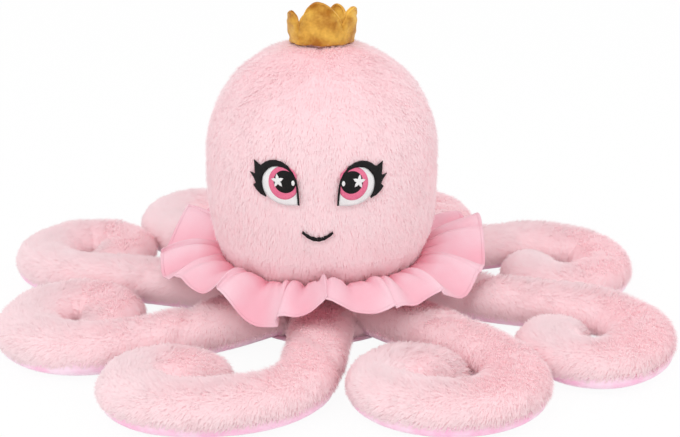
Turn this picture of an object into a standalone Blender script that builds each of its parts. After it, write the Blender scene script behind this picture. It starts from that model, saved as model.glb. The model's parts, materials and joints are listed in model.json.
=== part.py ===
"""Plush octopus: a stuffed head on a low round body, with eight curled legs, a gathered frill
round the neck, an embroidered face and a small padded crown.

Units are metres, +Z is up and the face looks along -Y. The origin lies on the floor, under the
middle of the head. Each leg lies on the floor in a curl and hinges on a line across its root.
"""

import math

import bmesh
import bpy
import numpy as np
from mathutils import Vector

GAP = 0.0003  # between two pieces that touch

# Head: a rounded dome above its widest height, drawn in to the neck below it.
HEAD_RADIUS = 0.111
HEAD_WIDEST_Z = 0.158
HEAD_RISE = 0.113
HEAD_RISE_POWER = 2.16
HEAD_DROP = 0.160
HEAD_DROP_POWER = 2.6
HEAD_STEPS = 30
CHIN_Z = 0.092
CHIN_FULLNESS = 0.0025  # how far the chin swells out of a straight line to the neck
NECK_RADIUS = 0.0935
NECK_Z = 0.0635
FUR = 0.007  # pile and backing

# Body under the frill.
BODY_RADIUS = 0.083
BODY_TOP_Z = 0.060
BODY_STEPS = 32
BODY_SLACK = 0.0012  # room between the side fur and the filling
BASE_THICKNESS = 0.0022

# Legs: half width and half height where a leg leaves the body and at its tip.
LEG_START = 0.084
LEG_INSIDE = 0.014  # how far a leg's line runs into the body
ROOT_HALF = (0.0310, 0.0240)
TIP_HALF = (0.0228, 0.0195)
SATIN = 0.0012
TIP_ROUND = 0.09  # share of the length that rounds off at the tip
TIP_REACH = 0.015  # last of the length, which lies in the middle of the coil
SEAM_ANGLE = 45.0  # degrees up from the underside, where satin meets fur
SOLE_ANGLE = 12.0  # half of the flat that rests on the floor
RING_TURN = 28.0  # degrees of curl between two sections
RING_LENGTH = 0.046  # length of straight leg between two sections

# Hinge lines: each is square to a direction this far clockwise of the leg's own bearing.
HINGE_RADIUS = 0.155
HINGE_SKEW = 45.0
HINGE_LIFT = 41.0  # degrees of room above the hinge line
HINGE_DROP = 61.0  # and below it
HINGE_REACH = 0.042  # how far past the hinge a piece is made before it is cut to it
CUT_TOP = 0.09
CUT_BOTTOM = -0.03
CUT_BACK = 0.09
CUT_HALF_WIDTH = 0.060

# The last five eighths of a leg wound into a round coil: degrees turned in each.
ROUND_COIL = (-46, -58, -48, -84, -108)

# name: bearing, lean at the body, length, degrees turned in each eighth before the tip's reach
LEGS = {
    "front": (-90, -4, 0.394, (-4, 0, -48, -27, -16, -62, -104, -60)),
    "front_right": (-45, 0, 0.430, (3, 0, -26, -74, -39, -40, -106, -80)),
    "right": (0, -11, 0.439, (-14, 5, 9) + ROUND_COIL),
    "back_right": (45, -11, 0.449, (-16, -4, 2) + ROUND_COIL),
    "back": (90, -2, 0.422, (-8, -14, -16) + ROUND_COIL),
    "back_left": (135, 5, 0.420, (4, -4, -22) + ROUND_COIL),
    "left": (180, -9, 0.427, (-12, 6, 8) + ROUND_COIL),
    "front_left": (225, -7, 0.425, (-12, -5, -6) + ROUND_COIL),
}

# Frill: gathered on a tape at the neck, with a rim that rides over the legs and dips between.
TAPE_RADIUS = 0.0942
TAPE_THICKNESS = 0.0012
TAPE_Z = (0.0570, 0.0638)
FRILL_RADIUS = 0.0965
FRILL_Z = 0.0645
FRILL_THICKNESS = 0.0012
FRILL_ARCH = 0.006
FRILL_STEPS = 92
# bearing in degrees, radius and height of the rim in millimetres
FRILL_RIM = (
    (0, 150, 78), (12, 148, 93), (24, 146, 70), (38, 146, 55), (52, 145, 70), (68, 146, 54),
    (84, 145, 72), (98, 146, 57), (114, 145, 72), (130, 146, 58), (146, 145, 76), (160, 140, 86),
    (174, 146, 66), (186, 149, 58), (198, 146, 54), (212, 143, 60), (226, 140, 66), (238, 141, 60),
    (250, 136, 42), (258, 139, 55), (266, 140, 67), (278, 143, 66), (288, 142, 60), (300, 143, 56),
    (310, 142, 62), (320, 145, 57), (332, 148, 52), (346, 151, 60),
)

# Face, measured from the middle of the face, which looks a little to one side.
FACE_X = -0.0035
EYE_OUT = 0.0310
EYE_Z = 0.1670
IRIS = (0.0138, 0.0152)
PUPIL = (0.0104, 0.0108)
WHITE_SHIFT = (0.0022, -0.0018)
WHITE = (0.0174, 0.0196)
STAR_OUT = 0.0046
STAR_RISE = 0.0022
STAR_REACH = (0.0058, 0.0023)
GLINT_IN = 0.0085
GLINT = (0.0015, 0.0027)
THREAD = 0.0010
THREAD_LIFT = 0.0005
LID = 0.0006  # least width of the lid line
# lid and lashes over the eye: bearing round it from its inner side, and how far each stands out
LASHES = (
    (62, 0.0004), (75, 0.0022), (90, 0.0042), (105, 0.0056), (120, 0.0066), (134, 0.0078),
    (143, 0.0148), (150, 0.0082), (160, 0.0150), (168, 0.0078), (178, 0.0116), (186, 0.0052),
    (196, 0.0060), (205, 0.0018), (212, 0.0004),
)
MOUTH = ((-0.0135, 0.1235), (-0.0075, 0.1180), (0.0, 0.1160), (0.0075, 0.1180), (0.0135, 0.1235))
MOUTH_RADIUS = 0.0014

# Crown: two padded cloth rings sewn together along five points.
CROWN_Y = 0.008
CROWN_RADIUS = 0.0298
CROWN_FLARE = 0.0030
CROWN_VALLEY = 0.0205
CROWN_POINT = 0.0405
CROWN_POINTS = 5
CROWN_BEARING = -98.0  # of the front point
CROWN_CLOTH = 0.0022
CROWN_SEAT = 0.0008  # over the fur
CROWN_STEPS = 30

FUR_PINK = (0.92, 0.62, 0.65)
SATIN_PINK = (0.95, 0.70, 0.80)
FRILL_PINK = (0.95, 0.47, 0.58)
FILLING_WHITE = (0.90, 0.90, 0.88)
CROWN_GOLD = (0.62, 0.36, 0.07)
THREAD_BLACK = (0.01, 0.01, 0.01)
THREAD_WHITE = (0.93, 0.93, 0.93)
THREAD_PINK = (0.86, 0.16, 0.33)


def clear_scene():
    for obj in list(bpy.data.objects):
        bpy.data.objects.remove(obj, do_unlink=True)


def add_collection(name):
    collection = bpy.data.collections.new(name)
    bpy.context.scene.collection.children.link(collection)
    return collection


clear_scene()
PARTS = add_collection("plush_octopus")
CUTTERS = add_collection("cutters")


def add_material(name, colour, roughness):
    material = bpy.data.materials.new(name)
    material.use_nodes = True
    shader = material.node_tree.nodes["Principled BSDF"]
    shader.inputs["Base Color"].default_value = (*colour, 1)
    shader.inputs["Roughness"].default_value = roughness
    shader.inputs["Metallic"].default_value = 0
    return material


def add_part(name, mesh, colour, roughness=0.9, smooth=True):
    obj = bpy.data.objects.new(name, mesh)
    PARTS.objects.link(obj)
    mesh.materials.append(add_material(f"{name}_finish", colour, roughness))
    if smooth:
        mesh.shade_smooth()
    return obj


def add_cutter(name, mesh):
    obj = bpy.data.objects.new(name, mesh)
    obj.hide_render = True
    obj.display_type = "WIRE"
    CUTTERS.objects.link(obj)
    return obj


def cut(obj, cutter, operation="DIFFERENCE"):
    modifier = obj.modifiers.new(f"{operation.lower()}_{cutter.name}", "BOOLEAN")
    modifier.operation = operation
    modifier.solver = "EXACT"
    modifier.object = cutter


def solidify(obj, thickness, offset):
    modifier = obj.modifiers.new("thickness", "SOLIDIFY")
    modifier.thickness = thickness
    modifier.offset = offset


def mesh_from(name, build):
    """A mesh that build fills through bmesh, with its faces turned outwards."""
    bm = bmesh.new()
    build(bm)
    bmesh.ops.recalc_face_normals(bm, faces=bm.faces)
    mesh = bpy.data.meshes.new(name)
    bm.to_mesh(mesh)
    bm.free()
    return mesh


def turned(name, profile, steps, colour):
    """A closed profile of (radius, height) points turned about the Z axis."""
    mesh = bpy.data.meshes.new(name)
    points = [(radius, 0, height) for radius, height in profile]
    edges = [(i, (i + 1) % len(points)) for i in range(len(points))]
    if points[0][0] == 0 and points[-1][0] == 0:
        edges.pop()
    mesh.from_pydata(points, edges, [])
    obj = add_part(name, mesh, colour)
    screw = obj.modifiers.new("turn", "SCREW")
    screw.axis = "Z"
    screw.steps = steps
    screw.render_steps = steps
    screw.use_merge_vertices = True
    screw.merge_threshold = 0.00001
    screw.use_smooth_shade = True
    return obj


def prism(name, outline, origin, across, out, half_width):
    """A cutter: an outline of (distance out, height) pairs, stretched both ways along across."""

    def build(bm):
        sides = []
        for sign in (-1, 1):
            base = Vector(origin) + Vector(across) * (sign * half_width)
            base.z = 0
            points = [base + Vector(out) * reach + Vector((0, 0, z)) for reach, z in outline]
            sides.append([bm.verts.new(point) for point in points])
        bm.faces.new(sides[0])
        bm.faces.new(sides[1])
        for i in range(len(outline)):
            j = (i + 1) % len(outline)
            bm.faces.new((sides[0][i], sides[0][j], sides[1][j], sides[1][i]))

    return add_cutter(name, mesh_from(name, build))


# Head and body


def head_radius(z):
    """Outer radius of the fur at a height, above the chin."""
    if z >= HEAD_WIDEST_Z:
        share = min((z - HEAD_WIDEST_Z) / HEAD_RISE, 1)
        return HEAD_RADIUS * (1 - share**HEAD_RISE_POWER) ** (1 / HEAD_RISE_POWER)
    share = (HEAD_WIDEST_Z - z) / HEAD_DROP
    return HEAD_RADIUS * (1 - share**HEAD_DROP_POWER) ** (1 / HEAD_DROP_POWER)


def head_height(radius):
    """Height of the top of the head at a distance from its axis."""
    share = (radius / HEAD_RADIUS) ** HEAD_RISE_POWER
    return HEAD_WIDEST_Z + HEAD_RISE * (1 - share) ** (1 / HEAD_RISE_POWER)


def head_profile():
    """The fur's outer outline from the crown of the head down to the neck."""
    dome = [0, 0.020, 0.044, 0.066, 0.084, 0.098, 0.1065]
    upper = [(radius, head_height(radius)) for radius in dome]
    side = [(head_radius(z), z) for z in (0.158, 0.125, CHIN_Z)]
    below = 0.5 * (head_radius(CHIN_Z) + NECK_RADIUS) + CHIN_FULLNESS
    chin = (below, 0.5 * (CHIN_Z + NECK_Z))
    return upper + side + [chin, (NECK_RADIUS, NECK_Z)]


def inset(profile, depth):
    """An outline moved inwards by a depth, square to itself; its two ends keep their line."""
    result = []
    for i, (radius, z) in enumerate(profile):
        before = Vector(profile[max(i - 1, 0)])
        after = Vector(profile[min(i + 1, len(profile) - 1)])
        along = (after - before).normalized()
        inward = Vector((along.y, -along.x))
        if i == 0:
            result.append((0, z - depth))
        elif i == len(profile) - 1:
            result.append((radius - depth, z))
        else:
            result.append((radius + inward.x * depth, z + inward.y * depth))
    return result


def make_head():
    outer = head_profile()
    inner = inset(outer, FUR)
    half_step = math.pi / HEAD_STEPS
    reach = 0.2
    panels = {
        "head_front_fur": (-reach, reach, -reach, -GAP / 2),
        "head_back_left_fur": (-reach, -GAP / 2, GAP / 2, reach),
        "head_back_right_fur": (GAP / 2, reach, GAP / 2, reach),
    }
    for name, (x0, x1, y0, y1) in panels.items():
        shell = turned(name, outer + inner[::-1], HEAD_STEPS, FUR_PINK)
        shell.rotation_euler.z = half_step
        bounds = [(x, y, z) for x in (x0, x1) for y in (y0, y1) for z in (-reach, 2 * reach)]

        def box(bm, corners=bounds):
            for corner in corners:
                bm.verts.new(corner)
            bmesh.ops.convex_hull(bm, input=bm.verts)

        cut(shell, add_cutter(f"{name}_region", mesh_from(f"{name}_region", box)), "INTERSECT")
    core = inset(outer, FUR + GAP)
    waist = BODY_RADIUS - FUR - GAP
    floor = BASE_THICKNESS + GAP
    profile = core + [(waist, BODY_TOP_Z + 2 * GAP), (waist, floor), (0, floor)]
    filling = turned("body_filling", profile, HEAD_STEPS, FILLING_WHITE)
    filling.rotation_euler.z = half_step


def make_body():
    bottom = BASE_THICKNESS + GAP
    inside = BODY_RADIUS - FUR + BODY_SLACK
    ring = [
        (BODY_RADIUS, BODY_TOP_Z),
        (BODY_RADIUS, bottom),
        (inside, bottom),
        (inside, BODY_TOP_Z),
    ]
    turned("body_side_fur", ring, BODY_STEPS, FUR_PINK)
    bpy.ops.mesh.primitive_cylinder_add(
        vertices=BODY_STEPS,
        radius=BODY_RADIUS,
        depth=BASE_THICKNESS,
        location=(0, 0, BASE_THICKNESS / 2),
    )
    disc = bpy.context.active_object
    mesh = disc.data
    mesh.transform(disc.matrix_world)
    bpy.data.objects.remove(disc)
    add_part("body_base_satin", mesh, SATIN_PINK, 0.35, smooth=False)


# Legs


def leg_line(leg, count=240):
    """The middle line of a leg on the floor: points, headings and distance along it.

    The leg starts inside the body. Its rate of turning changes smoothly from one eighth to the
    next, and its tip's reach keeps the last rate.
    """
    bearing, lean, length, turns = leg
    along = np.linspace(-LEG_INSIDE, length, count)
    stretch = (length - TIP_REACH) / len(turns)
    middles = (np.arange(len(turns)) + 0.5) * stretch
    rates = np.radians(turns) / stretch
    rate = np.interp(along, np.r_[0, middles], np.r_[0, rates])
    turned_by = np.r_[0, np.cumsum((rate[1:] + rate[:-1]) / 2 * np.diff(along))]
    heading = math.radians(bearing + lean) + turned_by
    middle = (heading[1:] + heading[:-1]) / 2
    steps = np.stack([np.cos(middle), np.sin(middle)], 1) * np.diff(along)[:, None]
    first = np.array([math.cos(heading[0]), math.sin(heading[0])])
    out = np.array([math.cos(math.radians(bearing)), math.sin(math.radians(bearing))])
    start = LEG_START * out - LEG_INSIDE * first
    return np.vstack([start, start + np.cumsum(steps, 0)]), heading, along


def leg_half(share):
    """Half width and half height of a leg at a share of its length, rounded off at the tip."""
    share = min(max(share, 0), 1)
    tip = max(share - (1 - TIP_ROUND), 0) / TIP_ROUND
    rounding = math.sqrt(max(1 - tip * tip, 0.09))
    width, height = (a + (b - a) * share for a, b in zip(ROOT_HALF, TIP_HALF))
    return width * rounding, height * rounding


def hinge_of(leg):
    """A leg's hinge: its point, the level direction along it, and the direction out."""
    points, _, along = leg_line(leg)
    index = int(np.argmax(np.linalg.norm(points, axis=1) > HINGE_RADIUS))
    x, y = points[index]
    height = leg_half(along[index] / leg[2])[1]
    out = math.atan2(y, x) - math.radians(HINGE_SKEW)
    direction = Vector((math.cos(out), math.sin(out), 0))
    return Vector((x, y, height)), direction.cross(Vector((0, 0, 1))), direction, along[index]


def section(half_width, half_height, angles, depth):
    """Points of a leg's cross-section at angles from its underside, moved in by a depth."""
    points = []
    sole = math.cos(math.radians(SOLE_ANGLE))
    inner_width = max(half_width - depth, 0.0004)
    inner_share = max(half_height - depth, 0.0004) / half_height
    for angle in angles:
        turn = math.radians(angle)
        rise = (sole - math.cos(turn)) / (sole + 1) * 2 * half_height
        up = half_height + (rise - half_height) * inner_share
        points.append((math.sin(turn) * inner_width, up))
    return points


def stations_of(leg, start, end):
    """Distances along a leg for its sections, closer together where it curls more."""
    _, heading, along = leg_line(leg)
    progress = along / RING_LENGTH + np.abs(heading - heading[0]) / math.radians(RING_TURN)
    tip = leg[2] * (1 - TIP_ROUND / 2)
    first, last = np.interp((start, min(end, tip)), along, progress)
    count = max(int(math.ceil(last - first)), 2)
    stations = list(np.interp(np.linspace(first, last, count + 1), progress, along))
    if end > tip:
        stations.append(leg[2])
    return stations


def swept(name, leg, stations, outline, colour, roughness):
    """A solid whose closed section outline(half_width, half_height) follows a leg's line."""
    points, heading, along = leg_line(leg)

    def build(bm):
        rings = []
        for station in stations:
            x, y = (np.interp(station, along, points[:, k]) for k in (0, 1))
            angle = np.interp(station, along, heading)
            side = Vector((math.sin(angle), -math.cos(angle), 0))
            shape = outline(*leg_half(station / leg[2]))
            middle = Vector((x, y, 0))
            rings.append([bm.verts.new(middle + side * u + Vector((0, 0, v))) for u, v in shape])
        for low, high in zip(rings, rings[1:]):
            for i in range(len(low)):
                j = (i + 1) % len(low)
                bm.faces.new((low[i], low[j], high[j]))
                bm.faces.new((low[i], high[j], high[i]))
        bm.faces.new(rings[0])
        bm.faces.new(rings[-1])

    return add_part(name, mesh_from(name, build), colour, roughness)


def even(start, end, count):
    return [start + (end - start) * i / (count - 1) for i in range(count)]


def whole_outline(half_width, half_height):
    fur = even(SEAM_ANGLE, 360 - SEAM_ANGLE, 9)
    return section(half_width, half_height, fur + [360 - SOLE_ANGLE, 360 + SOLE_ANGLE], 0)


def fur_outline(half_width, half_height):
    outer = section(half_width, half_height, even(SEAM_ANGLE, 360 - SEAM_ANGLE, 9), 0)
    inner = section(half_width, half_height, even(SEAM_ANGLE, 360 - SEAM_ANGLE, 5), FUR)
    return outer + inner[::-1]


def satin_outline(half_width, half_height):
    margin = math.degrees(GAP * 2 / half_height)
    edge = SEAM_ANGLE - margin
    angles = [-edge, -SOLE_ANGLE, SOLE_ANGLE, edge]
    outer = section(half_width, half_height, angles, 0)
    inner = section(half_width, half_height, angles, SATIN)
    return outer + inner[::-1]


def filling_outline(half_width, half_height):
    upper = section(half_width, half_height, even(SEAM_ANGLE, 360 - SEAM_ANGLE, 5), FUR + 2 * GAP)
    lower_angles = [360 - SOLE_ANGLE, 360 + SOLE_ANGLE]
    lower = section(half_width, half_height, lower_angles, SATIN + 2 * GAP)
    return (upper + lower)[::-1]


def hinge_cutter(name, leg, sign):
    """Takes off one side of a leg's hinge line, opened for the travel: 1 for the body's side."""
    point, across, out, _ = hinge_of(leg)
    rise = math.tan(math.radians(HINGE_LIFT / 2)) * (CUT_TOP - point.z)
    fall = math.tan(math.radians(HINGE_DROP / 2)) * (point.z - CUT_BOTTOM)
    outline = [
        (-CUT_BACK, CUT_BOTTOM),
        (GAP + fall, CUT_BOTTOM),
        (GAP, point.z),
        (GAP + rise, CUT_TOP),
        (-CUT_BACK, CUT_TOP),
    ]
    outline = [(sign * reach, z) for reach, z in outline]
    return prism(name, outline, point, across, out, CUT_HALF_WIDTH)


def make_leg(name, leg, body_cutter):
    place = hinge_of(leg)[3]
    outer_cut = hinge_cutter(f"{name}_coil_cut", leg, 1)
    inner_cut = hinge_cutter(f"{name}_root_cut", leg, -1)
    stub = stations_of(leg, -LEG_INSIDE, place + HINGE_REACH)
    root = swept(f"leg_{name}_root", leg, stub, whole_outline, FUR_PINK, 0.9)
    cut(root, body_cutter)
    cut(root, inner_cut)
    coil = stations_of(leg, place - HINGE_REACH, leg[2])
    fur = swept(f"leg_{name}_fur", leg, coil, fur_outline, FUR_PINK, 0.9)
    satin = swept(f"leg_{name}_satin", leg, coil, satin_outline, SATIN_PINK, 0.35)
    core = swept(f"leg_{name}_filling", leg, coil[:-1], filling_outline, FILLING_WHITE, 0.9)
    for piece in (fur, satin, core):
        cut(piece, outer_cut)


def make_legs():
    def build(bm):
        bmesh.ops.create_cone(
            bm,
            cap_ends=True,
            segments=BODY_STEPS,
            radius1=BODY_RADIUS + GAP,
            radius2=BODY_RADIUS + GAP,
            depth=0.2,
        )

    body_cutter = add_cutter("body_clearance", mesh_from("body_clearance", build))
    for name, leg in LEGS.items():
        make_leg(name, leg, body_cutter)


# Frill


def rim_curve():
    """A closed smooth curve through the frill's rim points: radius and height by bearing."""
    bearings = np.array([row[0] for row in FRILL_RIM], float)
    values = np.array([row[1:] for row in FRILL_RIM], float) / 1000
    count = len(bearings)
    around = np.concatenate([bearings - 360, bearings, bearings + 360])
    levels = np.concatenate([values, values, values])

    def at(bearing):
        k = int(np.searchsorted(around, bearing, side="right")) - 1
        k = min(max(k, 1), 3 * count - 3)
        span = around[k + 1] - around[k]
        t = (bearing - around[k]) / span
        slope0 = (levels[k + 1] - levels[k - 1]) / (around[k + 1] - around[k - 1]) * span
        slope1 = (levels[k + 2] - levels[k]) / (around[k + 2] - around[k]) * span
        ease = 3 * t * t - 2 * t**3
        bend = (t**3 - 2 * t * t + t) * slope0 + (t**3 - t * t) * slope1
        return levels[k] * (1 - ease) + levels[k + 1] * ease + bend

    return at


def make_frill():
    turned(
        "neck_tape",
        [
            (TAPE_RADIUS + TAPE_THICKNESS, TAPE_Z[1]),
            (TAPE_RADIUS + TAPE_THICKNESS, TAPE_Z[0]),
            (TAPE_RADIUS, TAPE_Z[0]),
            (TAPE_RADIUS, TAPE_Z[1]),
        ],
        HEAD_STEPS,
        FRILL_PINK,
    ).rotation_euler.z = math.pi / HEAD_STEPS
    rim = rim_curve()
    shares = (0, 0.3, 0.68, 1)

    def build(bm):
        rows = []
        for share in shares:
            row = []
            for step in range(FRILL_STEPS):
                bearing = 360 * step / FRILL_STEPS
                radius, height = rim(bearing)
                turn = math.radians(bearing)
                reach = FRILL_RADIUS + (radius - FRILL_RADIUS) * share
                arch = FRILL_ARCH * math.sin(math.pi * share)
                level = FRILL_Z + (height - FRILL_Z) * share**1.2 + arch
                row.append(bm.verts.new((reach * math.cos(turn), reach * math.sin(turn), level)))
            rows.append(row)
        for low, high in zip(rows, rows[1:]):
            for i in range(FRILL_STEPS):
                j = (i + 1) % FRILL_STEPS
                bm.faces.new((low[i], low[j], high[j], high[i]))

    frill = add_part("neck_frill", mesh_from("neck_frill", build), FRILL_PINK, 0.5)
    solidify(frill, FRILL_THICKNESS, 0)


# Face


def on_face(across, z, lift):
    """The point of the head's front at a distance from the face's middle, and a height."""
    x = FACE_X + across
    radius = head_radius(z) + lift
    return Vector((x, -math.sqrt(radius * radius - x * x), z))


def stitched(name, inner, outer, lift, colour, closed):
    """A flat band of thread on the fur, between two lines of points on the face."""

    def build(bm):
        rows = [[bm.verts.new(on_face(u, z, lift)) for u, z in line] for line in (inner, outer)]
        count = len(inner)
        for i in range(count if closed else count - 1):
            j = (i + 1) % count
            bm.faces.new((rows[0][i], rows[0][j], rows[1][j], rows[1][i]))

    patch = add_part(name, mesh_from(name, build), colour, 0.5)
    solidify(patch, THREAD, 0)


def stitched_patch(name, centre, outline, lift, colour):
    """A filled shape of thread on the fur, which spreads from its centre."""

    def build(bm):
        middle = bm.verts.new(on_face(*centre, lift))
        line = [bm.verts.new(on_face(u, z, lift)) for u, z in outline]
        for i in range(len(line)):
            bm.faces.new((middle, line[i], line[(i + 1) % len(line)]))

    patch = add_part(name, mesh_from(name, build), colour, 0.5)
    solidify(patch, THREAD, 0)


def oval(centre, half, steps, grow=0.0):
    u, z = centre
    turns = [2 * math.pi * i / steps for i in range(steps)]
    return [(u + (half[0] + grow) * math.cos(t), z + (half[1] + grow) * math.sin(t)) for t in turns]


def make_eye(side, sign):
    """One eye; sign is -1 for the eye at -X. Lashes point away from the face's middle."""
    centre = (sign * EYE_OUT, EYE_Z)
    white_centre = (centre[0] + sign * WHITE_SHIFT[0], centre[1] + WHITE_SHIFT[1])
    level = THREAD_LIFT + THREAD / 2
    steps = 20
    white = oval(white_centre, WHITE, steps)
    stitched(
        f"eye_{side}_white", oval(centre, IRIS, steps, GAP), white, level, THREAD_WHITE, True
    )
    stitched(
        f"eye_{side}_iris",
        oval(centre, PUPIL, steps, GAP),
        oval(centre, IRIS, steps),
        level,
        THREAD_PINK,
        True,
    )
    pupil = oval(centre, PUPIL, steps)
    stitched_patch(f"eye_{side}_pupil", centre, pupil, level, THREAD_BLACK)
    top = level + THREAD + GAP
    star_at = (centre[0] + sign * STAR_OUT, centre[1] + STAR_RISE)
    star = []
    for i in range(10):
        turn = math.radians(90 + 36 * i)
        reach = STAR_REACH[i % 2]
        star.append((star_at[0] + reach * math.cos(turn), star_at[1] + reach * math.sin(turn)))
    stitched_patch(f"eye_{side}_star", star_at, star, top, THREAD_WHITE)
    glint_at = (centre[0] - sign * GLINT_IN, centre[1])
    stitched_patch(f"eye_{side}_glint", glint_at, oval(glint_at, GLINT, 8), top, THREAD_WHITE)
    inner = []
    outer = []
    for bearing, reach in LASHES:
        turn = math.radians(bearing)
        for line, grow in ((inner, 2 * GAP), (outer, 2 * GAP + LID + reach)):
            across = white_centre[0] - sign * (WHITE[0] + grow) * math.cos(turn)
            line.append((across, white_centre[1] + (WHITE[1] + grow) * math.sin(turn)))
    stitched(f"eye_{side}_lashes", inner, outer, level, THREAD_BLACK, False)


def make_mouth():
    curve = bpy.data.curves.new("mouth_line", "CURVE")
    curve.dimensions = "3D"
    curve.bevel_depth = MOUTH_RADIUS
    curve.bevel_resolution = 1
    curve.use_fill_caps = True
    curve.resolution_u = 3
    spline = curve.splines.new("BEZIER")
    spline.bezier_points.add(len(MOUTH) - 1)
    for point, (u, z) in zip(spline.bezier_points, MOUTH):
        point.co = on_face(u, z, MOUTH_RADIUS + THREAD_LIFT)
        point.handle_left_type = "AUTO"
        point.handle_right_type = "AUTO"
    obj = bpy.data.objects.new("mouth_stitching", curve)
    PARTS.objects.link(obj)
    curve.materials.append(add_material("mouth_finish", THREAD_BLACK, 0.5))


# Crown


def make_crown():
    def crown_ring(name, radius):
        def build(bm):
            rows = [[] for _ in range(3)]
            for step in range(CROWN_STEPS):
                turn = math.radians(CROWN_BEARING + 360 * step / CROWN_STEPS)
                wave = (1 + math.cos(2 * math.pi * CROWN_POINTS * step / CROWN_STEPS)) / 2
                top = CROWN_VALLEY + (CROWN_POINT - CROWN_VALLEY) * wave**1.2
                foot_x = radius * math.cos(turn)
                foot_y = CROWN_Y + radius * math.sin(turn)
                seat = head_height(math.hypot(foot_x, foot_y)) + CROWN_SEAT
                for row, share in enumerate((0, 0.5, 1)):
                    rise = top * share
                    reach = radius + CROWN_FLARE * rise / CROWN_POINT
                    x = reach * math.cos(turn)
                    y = CROWN_Y + reach * math.sin(turn)
                    rows[row].append(bm.verts.new((x, y, seat + rise)))
            for low, high in zip(rows, rows[1:]):
                for i in range(CROWN_STEPS):
                    j = (i + 1) % CROWN_STEPS
                    bm.faces.new((low[i], low[j], high[j], high[i]))

        ring = add_part(name, mesh_from(name, build), CROWN_GOLD, 0.6)
        solidify(ring, CROWN_CLOTH, 0)

    crown_ring("crown_outer_cloth", CROWN_RADIUS)
    crown_ring("crown_inner_cloth", CROWN_RADIUS - CROWN_CLOTH - 2 * GAP)


make_head()
make_body()
make_legs()
make_frill()
make_eye("left", -1)
make_eye("right", 1)
make_mouth()
make_crown()
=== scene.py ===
"""Dresses the plush octopus: pile, satin soles, chiffon collar, embroidered face and crown."""

import json
from math import atan2, copysign, cos, degrees, exp, hypot, pi, radians, sin, sqrt

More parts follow.
